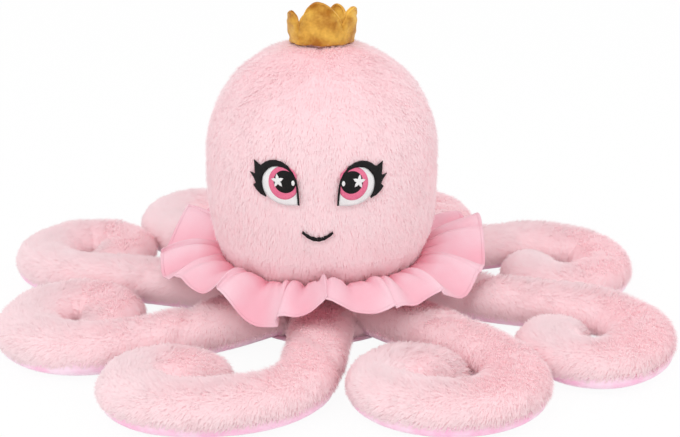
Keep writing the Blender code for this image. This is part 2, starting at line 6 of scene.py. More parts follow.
import bmesh
import bpy
import numpy as np
from mathutils import Vector, noise
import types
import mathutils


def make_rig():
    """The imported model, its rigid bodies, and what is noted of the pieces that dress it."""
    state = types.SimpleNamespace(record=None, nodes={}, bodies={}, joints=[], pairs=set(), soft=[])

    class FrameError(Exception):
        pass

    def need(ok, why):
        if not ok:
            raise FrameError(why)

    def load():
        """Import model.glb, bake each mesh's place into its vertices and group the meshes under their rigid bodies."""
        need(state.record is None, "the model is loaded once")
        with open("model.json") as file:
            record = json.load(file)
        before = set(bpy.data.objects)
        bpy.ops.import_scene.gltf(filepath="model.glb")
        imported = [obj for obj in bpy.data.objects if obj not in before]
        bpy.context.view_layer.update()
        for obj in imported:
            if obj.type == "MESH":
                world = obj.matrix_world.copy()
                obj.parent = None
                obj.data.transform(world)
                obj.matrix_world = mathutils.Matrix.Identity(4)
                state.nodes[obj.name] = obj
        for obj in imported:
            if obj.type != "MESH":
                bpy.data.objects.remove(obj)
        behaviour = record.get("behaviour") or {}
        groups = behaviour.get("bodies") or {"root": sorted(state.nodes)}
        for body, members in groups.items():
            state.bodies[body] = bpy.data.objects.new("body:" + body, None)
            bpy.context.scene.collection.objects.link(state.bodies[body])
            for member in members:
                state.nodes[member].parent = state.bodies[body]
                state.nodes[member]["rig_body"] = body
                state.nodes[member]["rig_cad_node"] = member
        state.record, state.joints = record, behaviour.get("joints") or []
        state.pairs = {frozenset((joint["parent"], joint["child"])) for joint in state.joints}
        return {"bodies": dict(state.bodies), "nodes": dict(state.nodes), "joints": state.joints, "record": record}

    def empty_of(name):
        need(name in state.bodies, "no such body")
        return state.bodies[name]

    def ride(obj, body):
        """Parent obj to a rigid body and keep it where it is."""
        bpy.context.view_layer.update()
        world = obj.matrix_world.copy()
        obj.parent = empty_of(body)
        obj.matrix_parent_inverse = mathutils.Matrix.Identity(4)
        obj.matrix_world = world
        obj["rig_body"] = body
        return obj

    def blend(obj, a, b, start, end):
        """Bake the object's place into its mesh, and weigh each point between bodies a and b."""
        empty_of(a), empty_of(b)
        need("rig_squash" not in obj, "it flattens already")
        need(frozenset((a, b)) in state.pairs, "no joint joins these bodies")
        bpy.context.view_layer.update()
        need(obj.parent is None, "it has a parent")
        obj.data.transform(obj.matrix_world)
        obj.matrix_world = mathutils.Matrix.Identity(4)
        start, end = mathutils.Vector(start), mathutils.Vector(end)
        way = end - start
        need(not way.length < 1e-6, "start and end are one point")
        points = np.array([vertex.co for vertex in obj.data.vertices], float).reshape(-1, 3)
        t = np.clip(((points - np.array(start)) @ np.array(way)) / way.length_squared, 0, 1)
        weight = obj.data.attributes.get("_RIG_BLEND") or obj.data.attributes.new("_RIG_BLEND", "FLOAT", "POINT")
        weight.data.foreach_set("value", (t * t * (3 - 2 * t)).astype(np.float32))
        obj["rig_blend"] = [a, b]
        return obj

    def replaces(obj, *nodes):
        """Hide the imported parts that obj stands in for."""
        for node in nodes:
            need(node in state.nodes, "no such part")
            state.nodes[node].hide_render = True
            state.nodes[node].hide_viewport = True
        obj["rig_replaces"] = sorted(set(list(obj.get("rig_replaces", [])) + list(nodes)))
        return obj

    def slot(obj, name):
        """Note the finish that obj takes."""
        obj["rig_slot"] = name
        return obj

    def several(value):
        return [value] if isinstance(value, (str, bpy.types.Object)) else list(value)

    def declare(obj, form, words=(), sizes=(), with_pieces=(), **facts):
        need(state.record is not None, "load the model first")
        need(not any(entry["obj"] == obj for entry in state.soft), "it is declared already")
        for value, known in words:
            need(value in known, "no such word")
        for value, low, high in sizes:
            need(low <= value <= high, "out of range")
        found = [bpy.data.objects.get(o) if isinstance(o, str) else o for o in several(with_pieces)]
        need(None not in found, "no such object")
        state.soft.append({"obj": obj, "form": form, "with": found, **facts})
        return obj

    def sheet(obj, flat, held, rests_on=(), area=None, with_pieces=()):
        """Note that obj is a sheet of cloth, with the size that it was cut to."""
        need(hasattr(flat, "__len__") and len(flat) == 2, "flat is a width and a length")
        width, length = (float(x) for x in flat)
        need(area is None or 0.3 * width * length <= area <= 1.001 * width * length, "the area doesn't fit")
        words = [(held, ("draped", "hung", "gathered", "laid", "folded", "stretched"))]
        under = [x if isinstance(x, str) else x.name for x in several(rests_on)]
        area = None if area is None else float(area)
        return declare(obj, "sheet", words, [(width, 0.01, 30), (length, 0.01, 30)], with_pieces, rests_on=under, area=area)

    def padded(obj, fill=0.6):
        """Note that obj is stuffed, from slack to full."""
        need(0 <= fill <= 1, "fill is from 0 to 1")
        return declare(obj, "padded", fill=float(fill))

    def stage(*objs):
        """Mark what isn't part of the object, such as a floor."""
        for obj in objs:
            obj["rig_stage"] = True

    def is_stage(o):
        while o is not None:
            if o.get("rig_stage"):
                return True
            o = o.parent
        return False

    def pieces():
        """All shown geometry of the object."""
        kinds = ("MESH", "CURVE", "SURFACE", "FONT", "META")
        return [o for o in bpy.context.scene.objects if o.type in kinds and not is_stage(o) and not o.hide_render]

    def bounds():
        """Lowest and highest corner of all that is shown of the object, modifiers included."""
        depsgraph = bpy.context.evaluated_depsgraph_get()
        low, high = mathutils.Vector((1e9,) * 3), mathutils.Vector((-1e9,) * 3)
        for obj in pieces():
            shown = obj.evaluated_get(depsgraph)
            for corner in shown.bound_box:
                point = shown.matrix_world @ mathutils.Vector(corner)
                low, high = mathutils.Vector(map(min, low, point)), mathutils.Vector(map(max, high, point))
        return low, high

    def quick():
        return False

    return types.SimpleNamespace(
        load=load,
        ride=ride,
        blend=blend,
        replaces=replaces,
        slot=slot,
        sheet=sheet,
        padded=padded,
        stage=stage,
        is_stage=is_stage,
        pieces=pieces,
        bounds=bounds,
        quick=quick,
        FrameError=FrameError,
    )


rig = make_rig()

bl_info = {
    "name": "Plush Octopus",
    "version": (1, 0, 0),
    "blender": (4, 5, 0),
    "location": "View3D > Sidebar > Plush Octopus",
    "description": "Makes the soft pieces and the studio of a plush octopus",
    "category": "Object",
}

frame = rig.load()
CAD_BOX = [list(corner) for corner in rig.bounds()]

# The photograph: its size in pixels, and where the camera stood for it.
PHOTO_WIDTH = 680
CAMERA_AT = (0.0, -1.10, 0.50)
CAMERA_PITCH = 20.2
FOCAL_PIXELS = 1218.0
SHIFT_PIXELS = 18.0

# Lengths below are in metres and angles in degrees, unless a comment says otherwise.

# Head outline, outside the pile.
HEAD_RADIUS = 0.111
HEAD_WIDEST_Z = 0.158
HEAD_RISE = 0.113
HEAD_RISE_POWER = 2.16
HEAD_DROP = 0.160
HEAD_DROP_POWER = 2.6
CHIN_Z = 0.092
NECK_RADIUS = 0.0935
NECK_Z = 0.0635
BODY_RADIUS = 0.083
BODY_TOP_Z = 0.060
BODY_SIDE_Z = (0.006, 0.058)
BODY_SIDE_THICKNESS = 0.0012
PANEL_THICKNESS = 0.0015
WADDING_DEPTH = 0.0080
WADDING_BOTTOM_Z = 0.0032
BASE_PROFILE = (
    (0, 0.0020), (0.040, 0.0020), (0.074, 0.0022), (0.0815, 0.0030), (0.0822, 0.0022),
    (0.0815, 0.0008), (0.078, 0.0), (0.040, 0.0), (0, 0.0),
)

# How the head's panels sink at their seams and at the dart, and how uneven they are.
SEAM_DIP = 0.0012
SEAM_WIDTH = 0.004
DART_X = -0.002
DART_START_Z = 0.21
DART_DIP = 0.0016
DART_WIDTH = 0.003
HEAD_UNEVENNESS = 0.0011

# Legs: ROOT_HALF and TIP_HALF are half the width and half the height at either end.
LEG_START = 0.084
LEG_INSIDE = 0.014
ROOT_HALF = (0.0310, 0.0240)
TIP_HALF = (0.0228, 0.0195)
TIP_ROUND = 0.09
TIP_REACH = 0.015
INNER_SEAM = 56.0
OUTER_SEAM = 80.0
SEAM_TUCK = 0.0036
RING_SPACING = 0.0042
WADDING_RING_SPACING = 0.008
SOLE_DEPTHS = (0.0004, 0.0014)
LEG_WADDING_DEPTH = 0.0078
SOLE_ANGLE = 12.0
COIL_PLUMP = 0.0026
COIL_FILL = 0.0090
CREASE_PITCH = 0.027
CREASE_DEPTH = 0.0028
# height, fineness and a number added to the seed, for broad and small lumps
LEG_LUMPS = ((0.0016, 26.0, 0), (0.0008, 60.0, 5))
HINGE_RADIUS = 0.155
HINGE_SKEW = 45.0
HINGE_SOFTNESS = 0.016
HINGE_DIP = 0.0038
HINGE_DIP_WIDTH = 0.006
ROUND_COIL = (-46, -58, -48, -84, -108)
# name: bearing, lean at the body, length, degrees turned in each eighth before the tip's reach
LEGS = {
    "front": (-90, -4, 0.394, (-4, 0, -48, -27, -16, -62, -104, -60)),
    "front_right": (-45, 0, 0.430, (3, 0, -26, -74, -39, -40, -106, -80)),
    "right": (0, -11, 0.439, (-14, 5, 9) + ROUND_COIL),
    "back_right": (45, -11, 0.449, (-16, -4, 2) + ROUND_COIL),
    "back": (90, -2, 0.422, (-8, -14, -16) + ROUND_COIL),
    "back_left": (135, 5, 0.420, (4, -4, -22) + ROUND_COIL),
    "left": (180, -9, 0.427, (-12, 6, 8) + ROUND_COIL),
    "front_left": (225, -7, 0.425, (-12, -5, -6) + ROUND_COIL),
}

# Collar: where it starts, its flat length and width, and how it arches.
FRILL_RADIUS = 0.0955
FRILL_Z = 0.0645
FRILL_ARCH = 0.006
FRILL_FRONT_LIFT = 0.0065
FRILL_FRONT_BEARING = 268
FRILL_FRONT_SPREAD = 44
FRILL_FLAT = (1.0, 0.055)
CHIFFON_THICKNESS = 0.0005
HEM_THICKNESS = 0.0008
# Its rim: bearing in degrees, radius and height in millimetres.
FRILL_RIM = (
    (0, 156, 78), (12, 154, 93), (24, 149, 70), (38, 146, 55), (52, 145, 70), (68, 146, 54),
    (84, 145, 72), (98, 146, 57), (114, 145, 72), (130, 146, 58), (146, 147, 76), (160, 146, 86),
    (174, 153, 66), (186, 156, 58), (198, 152, 54), (212, 145, 60), (226, 140, 66), (238, 141, 60),
    (250, 138, 40), (258, 140, 53), (266, 139, 69), (276, 141, 70), (288, 142, 60), (300, 143, 56),
    (310, 142, 62), (320, 145, 57), (332, 151, 52), (346, 157, 60),
)

# Neck tape: its outer radius, and the heights of its lower and upper edge.
TAPE_RADIUS = 0.0948
TAPE_Z = (0.0570, 0.0638)

# Face, in millimetres. Each eye has its own frame: outwards from the nose, and up, from the iris.
FACE_X = -3.2
EYE_OUT = 30.5
EYE_Z = 166.9
WHITE_OUTLINE = (
    (-11.6, 2.2), (-8.0, 9.2), (-2.0, 13.2), (5.0, 14.2), (11.0, 12.4), (15.4, 8.4), (18.2, 3.4),
    (18.6, -2.2), (17.4, -8.2), (14.4, -13.2), (9.6, -17.0), (3.8, -19.4), (-2.4, -20.4),
    (-8.4, -20.2), (-13.2, -19.2), (-12.6, -11.5), (-12.2, -4.5),
)
IRIS = (13.2, 14.8)
IRIS_AT = (-0.6, -0.4)
IRIS_INNER = -11.8
PUPIL = (9.6, 10.0)
PUPIL_AT = (-1.6, 1.0)
STAR_AT = (4.6, 1.5)
STAR_REACH = (6.4, 2.7)
GLINT_AT = (-8.8, 0.7)
GLINT = (1.4, 2.3)
# lid and lashes: pairs of an outer and an inner point, from the nose side over the top
LID = (
    ((-14.4, -19.3), (-12.7, -19.3)), ((-13.9, -11.5), (-12.2, -11.5)),
    ((-13.1, -3.5), (-11.4, -3.5)), ((-11.9, 3.2), (-10.2, 2.2)), ((-9.0, 9.4), (-7.7, 7.8)),
    ((-4.4, 14.8), (-4.0, 11.6)), ((1.0, 17.8), (0.4, 13.4)), ((6.4, 18.9), (5.0, 13.9)),
    ((11.8, 18.0), (9.6, 13.0)), ((15.8, 15.8), (12.6, 11.0)), ((19.4, 12.7), (15.4, 7.6)),
    ((25.4, 16.6), (16.4, 6.4)), ((24.9, 10.0), (17.0, 5.2)), ((24.6, 4.4), (17.6, 3.6)),
    ((29.0, 5.4), (18.0, 2.2)), ((25.6, 0.6), (18.3, 0.4)), ((24.0, -3.6), (18.5, -2.4)),
    ((26.2, -5.8), (18.3, -4.4)), ((23.6, -9.6), (17.6, -7.6)), ((19.9, -12.9), (16.4, -11.0)),
    ((15.0, -14.9), (14.6, -13.8)),
)
MOUTH_HALF_WIDTH = 13.4
MOUTH_Z = (122.6, 116.0)
MOUTH_THICK = (0.9, 1.7)

# Stitching, in metres: how far the mouth stands over the eyes' first layer, and how
# deep the threads go.
MOUTH_LIFT = 0.0012
STITCH_DEPTH = 0.0016

# Crown: for each point its bearing, its height and how far it spreads to either side, in degrees.
CROWN_Y = 0.008
CROWN_RADIUS = 0.0260
CROWN_FLARE = 0.0064
CROWN_LOBES = (
    (-98, 0.0405, 34, 48), (-27, 0.0350, 26, 28), (63, 0.0325, 27, 20), (104, 0.0250, 20, 34),
    (206, 0.0310, 30, 22),
)
CROWN_VALLEY = 0.0160
# The flare is what the cloth leans out at the height CROWN_FLARE_AT; the foot is rolled
# and sinks into the pile; the dents are broad and small.
CROWN_FLARE_AT = 0.039
CROWN_FOOT_ROLL = 0.0022
CROWN_SINK = 0.0020
CROWN_DENTS = (0.0020, 0.0006)
VELOUR_THICKNESS = 0.0016
VELOUR_EDGE = 0.0006

# Pile: the bare gap round the stitching, and how far tufts and broad swirls lean the strands.
PILE_CLEARANCE = 0.0019
TUFT_LEAN = 0.8
SWIRL_LEAN = 0.6
QUICK_THINNING = 3.0


# Small tools


def add_object(name, mesh, collection=None):
    obj = bpy.data.objects.new(name, mesh)
    (collection or bpy.context.scene.collection).objects.link(obj)
    return obj


def mesh_of(name, points, faces, material):
    mesh = bpy.data.meshes.new(name)
    mesh.from_pydata([tuple(p) for p in points], [], faces)
    mesh.materials.append(material)
    mesh.shade_smooth()
    mesh.update()
    return mesh


def grid_faces(rows, columns, closed_columns=True, start=0):
    faces = []
    for r in range(rows - 1):
        for c in range(columns if closed_columns else columns - 1):
            d = (c + 1) % columns
            a = start + r * columns
            b = a + columns
            faces.append((a + c, a + d, b + d, b + c))
    return faces


def two_grids(rows, columns, closed_columns):
    """Faces of two equal grids of points, with the second one turned over."""
    second = grid_faces(rows, columns, closed_columns, rows * columns)
    return grid_faces(rows, columns, closed_columns) + [face[::-1] for face in second]


def grid_border(rows, columns):
    """Numbers of the points on a grid's border, in order round it."""
    border = [(0, j) for j in range(columns)]
    border += [(i, columns - 1) for i in range(1, rows)]
    border += [(rows - 1, j) for j in range(columns - 2, -1, -1)]
    border += [(i, 0) for i in range(rows - 2, 0, -1)]
    return [i * columns + j for i, j in border]


def face_outwards(mesh, weld=0.0):
    bm = bmesh.new()
    bm.from_mesh(mesh)
    if weld:
        bmesh.ops.remove_doubles(bm, verts=bm.verts, dist=weld)
    bmesh.ops.recalc_face_normals(bm, faces=bm.faces)
    bm.to_mesh(mesh)
    bm.free()


def set_attribute(mesh, name, kind, values):
    layer = mesh.attributes.new(name, kind, "POINT")
    field = "vector" if kind == "FLOAT_VECTOR" else "value"
    layer.data.foreach_set(field, np.asarray(values, np.float32).ravel())


def polar(radius, turn, z):
    return Vector((radius * cos(turn), radius * sin(turn), z))


def lumps(point, scale, seed=0.0):
    """Smooth unevenness from -1 to 1 at a point."""
    x, y, z = point
    return noise.noise(Vector((x * scale + seed, y * scale - seed, z * scale + 2 * seed)))


def eased(value, low, high):
    """0 below low, 1 above high and smooth between."""
    t = min(max((value - low) / (high - low), 0), 1)
    return t * t * (3 - 2 * t)


def finished(obj):
    """Puts a plain mesh of what an object's modifiers make in place of the modifiers."""
    bpy.context.view_layer.update()
    depsgraph = bpy.context.evaluated_depsgraph_get()
    mesh = bpy.data.meshes.new_from_object(
        obj.evaluated_get(depsgraph), preserve_all_data_layers=True, depsgraph=depsgraph
    )
    mesh.name = obj.name
    obj.modifiers.clear()
    obj.data = mesh


def stand_for(obj, slot, *nodes, ride=True, fill=None):
    """Tells the frame which solids a piece stands for, its slot, that it rides and its fill."""
    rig.replaces(obj, *nodes)
    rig.slot(obj, slot)
    if ride:
        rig.ride(obj, "torso")
    if fill:
        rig.padded(obj, fill=fill)


# Node tools


def add_node(tree, kind, inputs=None, **settings):
    """A node with its settings, and its inputs given as numbers or as other nodes' sockets."""
    node = tree.nodes.new(kind)
    for key, value in settings.items():
        setattr(node, key, value)
    for key, value in (inputs or {}).items():
        if isinstance(key, int):
            socket = node.inputs[key]
        else:
            socket = next(s for s in node.inputs if s.name == key and s.enabled)
        if isinstance(value, bpy.types.NodeSocket):
            tree.links.new(value, socket)
        else:
            socket.default_value = value
    return node


def shade(tree, kind, inputs=None, output=0, **settings):
    """An output of a new shader node."""
    return add_node(tree, "ShaderNode" + kind, inputs, **settings).outputs[output]


def geometry(tree, kind, inputs=None, output=0, **settings):
    """An output of a new geometry node."""
    return add_node(tree, "GeometryNode" + kind, inputs, **settings).outputs[output]


def math_node(tree, operation, first, second=0.0):
    return shade(tree, "Math", {0: first, 1: second}, operation=operation)


def vector_node(tree, operation, first, second):
    return shade(tree, "VectorMath", {0: first, 1: second}, operation=operation)


def scaled(tree, vector, scale):
    return shade(tree, "VectorMath", {0: vector, "Scale": scale}, operation="SCALE")


def ranged(tree, value, low, high, to_low=0.0, to_high=1.0):
    inputs = {"Value": value, "From Min": low, "From Max": high}
    return shade(tree, "MapRange", {**inputs, "To Min": to_low, "To Max": to_high})


def mixed(tree, factor, first, second):
    inputs = {"Factor": factor, "A": first, "B": second}
    return shade(tree, "Mix", inputs, "Result", data_type="RGBA")


def group_of(name, kind, inputs, outputs):
    """A node group, with the sockets that it is given and those of its result."""
    tree = bpy.data.node_groups.new(name, kind)
    for label, socket_kind, value in inputs:
        socket = tree.interface.new_socket(
            label, in_out="INPUT", socket_type="NodeSocket" + socket_kind
        )
        if value is not None:
            socket.default_value = value
    for label, socket_kind in outputs:
        tree.interface.new_socket(label, in_out="OUTPUT", socket_type="NodeSocket" + socket_kind)
    return tree, tree.nodes.new("NodeGroupInput").outputs, tree.nodes.new("NodeGroupOutput").inputs


# Shared shader groups


def dye_and_painted_light_group():
    """Mixes two near colours by soft patches and fine specks, as dyed cloth has them. On the satin and the velour the
    two colours are a lit and a shaded copy, so there the patches are painted sheen and painted shade.
    """
    tree, given, result = group_of(
        "Uneven Dye",
        "ShaderNodeTree",
        (
            ("Vector", "Vector", None),
            ("Light", "Color", (0.9, 0.7, 0.7, 1)),
            ("Deep", "Color", (0.8, 0.5, 0.5, 1)),
            ("Patch Scale", "Float", 25.0),
            ("Speck Scale", "Float", 400.0),
            ("Speck Share", "Float", 0.3),
        ),
        (("Color", "Color"), ("Mask", "Float")),
    )
    patches, specks = (
        shade(tree, "TexNoise", {"Vector": given["Vector"], "Scale": given[key], "Detail": detail})
        for key, detail in (("Patch Scale", 3.0), ("Speck Scale", 1.0))
    )
    share = given["Speck Share"]
    fine = math_node(tree, "MULTIPLY", specks, share)
    coarse = math_node(tree, "MULTIPLY", patches, math_node(tree, "SUBTRACT", 1.0, share))
    mask = ranged(tree, math_node(tree, "ADD", fine, coarse), 0.36, 0.64)
    tree.links.new(mixed(tree, mask, given["Deep"], given["Light"]), result["Color"])
    tree.links.new(mask, result["Mask"])
    return tree


def threads_group():
    """Height of fine parallel threads across a surface, a little uneven."""
    tree, given, result = group_of(
        "Threads",
        "ShaderNodeTree",
        (("Vector", "Vector", None), ("Pitch Scale", "Float", 300.0), ("Waver", "Float", 1.0)),
        (("Height", "Float"),),
    )
    inputs = {"Vector": given["Vector"], "Scale": given["Pitch Scale"]}
    inputs.update({"Distortion": given["Waver"], "Detail": 1.0})
    tree.links.new(shade(tree, "TexWave", inputs, "Fac", bands_direction="X"), result["Height"])
    return tree


# Materials


def once(name, build):
    return bpy.data.materials.get(name) or build(name)


def principled(name, roughness, sheen, sheen_roughness=0.5, specular=0.3):
    material = bpy.data.materials.new(name)
    material.use_nodes = True
    shader = material.node_tree.nodes["Principled BSDF"]
    shader.inputs["Roughness"].default_value = roughness
    shader.inputs["Sheen Weight"].default_value = sheen
    shader.inputs["Sheen Roughness"].default_value = sheen_roughness
    shader.inputs["Specular IOR Level"].default_value = specular
    return material, material.node_tree, shader


def dyed_and_painted(tree, light, deep, patch, speck, share):
    """The outputs of the patch group on Object coordinates: uneven dye, and on the satin and the velour painted sheen
    and painted shade.
    """
    inputs = {
        "Vector": shade(tree, "TexCoord", output="Object"),
        "Light": (*light, 1),
        "Deep": (*deep, 1),
        "Patch Scale": patch,
        "Speck Scale": speck,
        "Speck Share": share,
    }
    group = bpy.data.node_groups.get("Uneven Dye") or dye_and_painted_light_group()
    return add_node(tree, "ShaderNodeGroup", inputs, node_tree=group).outputs


def threaded(tree, vector, pitch, waver):
    inputs = {"Vector": vector, "Pitch Scale": pitch, "Waver": waver}
    group = bpy.data.node_groups.get("Threads") or threads_group()
    return shade(tree, "Group", inputs, node_tree=group)


def bumped(tree, shader, height, strength, distance):
    inputs = {"Height": height, "Strength": strength, "Distance": distance}
    tree.links.new(shade(tree, "Bump", inputs), shader.inputs["Normal"])


def cloth_dyed_and_painted(name, finish, dye_and_painted_light):
    """A material with a finish and patches of colour, its tree, its shader and the patches' mask. The patches are
    uneven dye, and on the satin and the velour painted sheen and painted shade.
    """
    material, tree, shader = principled(name, *finish)
    outputs = dyed_and_painted(tree, *dye_and_painted_light)
    tree.links.new(outputs["Color"], shader.inputs["Base Color"])
    return material, tree, shader, outputs["Mask"]


def rough_cloth(name, finish, dye_and_painted_light, strength, distance):
    """A dyed cloth that stands up a little where its dye is light."""
    material, tree, shader, mask = cloth_dyed_and_painted(name, finish, dye_and_painted_light)
    bumped(tree, shader, mask, strength, distance)
    return material


def pile_material(name):
    """Fur strands: deep pink at the root, paler to the tip, each strand a little different."""
    look = bpy.context.scene.plush_pile
    material, tree, shader = principled(name, 0.9, 0.20, 0.50, 0.1)
    shader.inputs["Sheen Tint"].default_value = (1.0, 0.86, 0.88, 1)
    dye_and_painted_light = dyed_and_painted(tree, look.tip_colour, look.tip_shade, 45.0, 260.0, 0.45)
    along = shade(tree, "Attribute", output="Fac", attribute_name="along")
    rise = ranged(tree, along, 0.05, 0.70)
    colour = mixed(tree, rise, (*look.root_colour, 1), dye_and_painted_light["Color"])
    tree.links.new(colour, shader.inputs["Base Color"])
    # a strand is thin: its back face shows the light that comes through it
    through = shade(tree, "BsdfTranslucent", {"Color": colour})
    back = shade(tree, "NewGeometry", output="Backfacing")
    either = shade(tree, "MixShader", {0: back, 1: shader.outputs[0], 2: through})
    tree.links.new(either, tree.nodes["Material Output"].inputs["Surface"])
    return material


def backing_material(name):
    look = bpy.context.scene.plush_pile
    dye_and_painted_light = (look.root_colour, look.backing_colour, 60.0, 700.0, 0.5)
    return rough_cloth(name, (0.95, 0.15), dye_and_painted_light, 0.6, 0.001)


def filling_material(name):
    dye_and_painted_light = ((0.92, 0.92, 0.90), (0.78, 0.78, 0.76), 120.0, 900.0, 0.4)
    return rough_cloth(name, (0.95, 0.2), dye_and_painted_light, 0.8, 0.003)


def tape_material(name):
    dye_and_painted_light = ((0.90, 0.42, 0.52), (0.80, 0.30, 0.42), 80.0, 1200.0, 0.6)
    return rough_cloth(name, (0.8, 0.2), dye_and_painted_light, 0.4, 0.0005)


def satin_material(name):
    look = bpy.context.scene.plush_legs
    # the light and deep satin colours, mixed in random patches, are painted sheen and painted fold shade
    dye_and_painted_light = (look.satin_light, look.satin_deep, 38.0, 120.0, 0.25)
    material, tree, shader, _ = cloth_dyed_and_painted(name, (0.32, 0.25, 0.3, 0.5), dye_and_painted_light)
    shader.inputs["Anisotropic"].default_value = 0.4
    coordinates = shade(tree, "TexCoord", output="Object")
    creases = shade(tree, "TexNoise", {"Vector": coordinates, "Scale": 90.0, "Detail": 4.0})
    bumped(tree, shader, creases, 0.35, 0.002)
    return material


def chiffon_material(name):
    """Thin see-through cloth, deeper where it is gathered and down in its folds, for the layers of cloth bunched there
    and with painted shade there too.
    """
    look = bpy.context.scene.plush_collar
    material, tree, shader = principled(name, 0.55, 0.35, 0.3, 0.3)
    shader.inputs["Alpha"].default_value = 0.80
    dye_and_painted_light = dyed_and_painted(tree, look.chiffon_light, look.chiffon_deep, 30.0, 900.0, 0.25)
    weave = shade(tree, "UVMap", uv_map="cloth")
    out = shade(tree, "SeparateXYZ", {0: weave}, "Y")
    # deeper pink near the neck: the gathered layers bunch there, and painted shade under the head
    neck_layers_and_shade = ranged(tree, out, 0.0, 0.022, 0.85, 0.0)
    colour = mixed(tree, neck_layers_and_shade, dye_and_painted_light["Color"], (0.97, 0.31, 0.41, 1))
    # deeper down in the folds: the sheer cloth lies in layers there, and painted shade in the valleys
    crest = shade(tree, "Attribute", output="Fac", attribute_name="crest")
    folded = ranged(tree, crest, 0.3, -1.1, 0.0, 0.55)
    colour = mixed(tree, folded, colour, (1.0, 0.43, 0.54, 1))
    tree.links.new(colour, shader.inputs["Base Color"])
    bumped(tree, shader, threaded(tree, weave, 900.0, 0.4), 0.12, 0.0003)
    return material


def velour_material(name):
    """Gold crushed velour, with fine ribs and brushed light and dark patches, which are painted sheen and painted
    shade of the crushed pile, at random places.
    """
    # light colour: painted highlight on the crushed pile; deep colour: painted shade in its folds
    dye_and_painted_light = ((0.93, 0.54, 0.08), (0.46, 0.16, 0.002), 55.0, 420.0, 0.15)
    material, tree, shader, mask = cloth_dyed_and_painted(name, (0.45, 0.25, 0.3, 0.4), dye_and_painted_light)
    shader.inputs["Sheen Tint"].default_value = (1.0, 0.72, 0.25, 1)
    ribs = threaded(tree, shade(tree, "UVMap", uv_map="cloth"), 700.0, 2.5)
    bumped(tree, shader, math_node(tree, "ADD", ribs, mask), 0.45, 0.0006)
    return material


def thread_material(name, light, deep, direction):
    """Satin stitch: parallel threads that run one way, with a soft gloss."""
    dye_and_painted_light = (light, deep, 160.0, 1400.0, 0.6)
    material, tree, shader, _ = cloth_dyed_and_painted(name, (0.5, 0.25, 0.4, 0.35), dye_and_painted_light)
    coordinates = shade(tree, "TexCoord", output="Object")
    turned = shade(tree, "Mapping", {"Vector": coordinates, "Rotation": (0.0, direction, 0.0)})
    bumped(tree, shader, threaded(tree, turned, 420.0, 1.2), 0.5, 0.0005)
    return material


def black_thread(name):
    material = thread_material(name, (0.010, 0.009, 0.010), (0.003, 0.003, 0.003), 0.5)
    shader = material.node_tree.nodes["Principled BSDF"]
    shader.inputs["Sheen Weight"].default_value = 0.02
    shader.inputs["Specular IOR Level"].default_value = 0.18
    return material


def white_thread(name):
    return thread_material(name, (0.90,) * 3, (0.80,) * 3, 0.2)


def pink_thread(name):
    look = bpy.context.scene.plush_face
    return thread_material(name, look.iris_colour, (0.74, 0.13, 0.26), -0.4)


# Pile: strands that stand on a backing, made with Geometry Nodes


def strand_object():
    """One tapered strand, a unit long, which bends over towards its back."""
    found = bpy.data.objects.get("strand_shape")
    if found:
        return found
    points = [(-0.4, 0, 0), (0.4, 0, 0), (-0.5, -0.06, 0.55), (0.5, -0.06, 0.55), (0, -0.26, 1)]
    mesh = bpy.data.meshes.new("strand_shape")
    mesh.from_pydata(points, [], [(1, 0, 2, 3), (3, 2, 4)])
    set_attribute(mesh, "along", "FLOAT", [z for _, _, z in points])
    return bpy.data.objects.new("strand_shape", mesh)


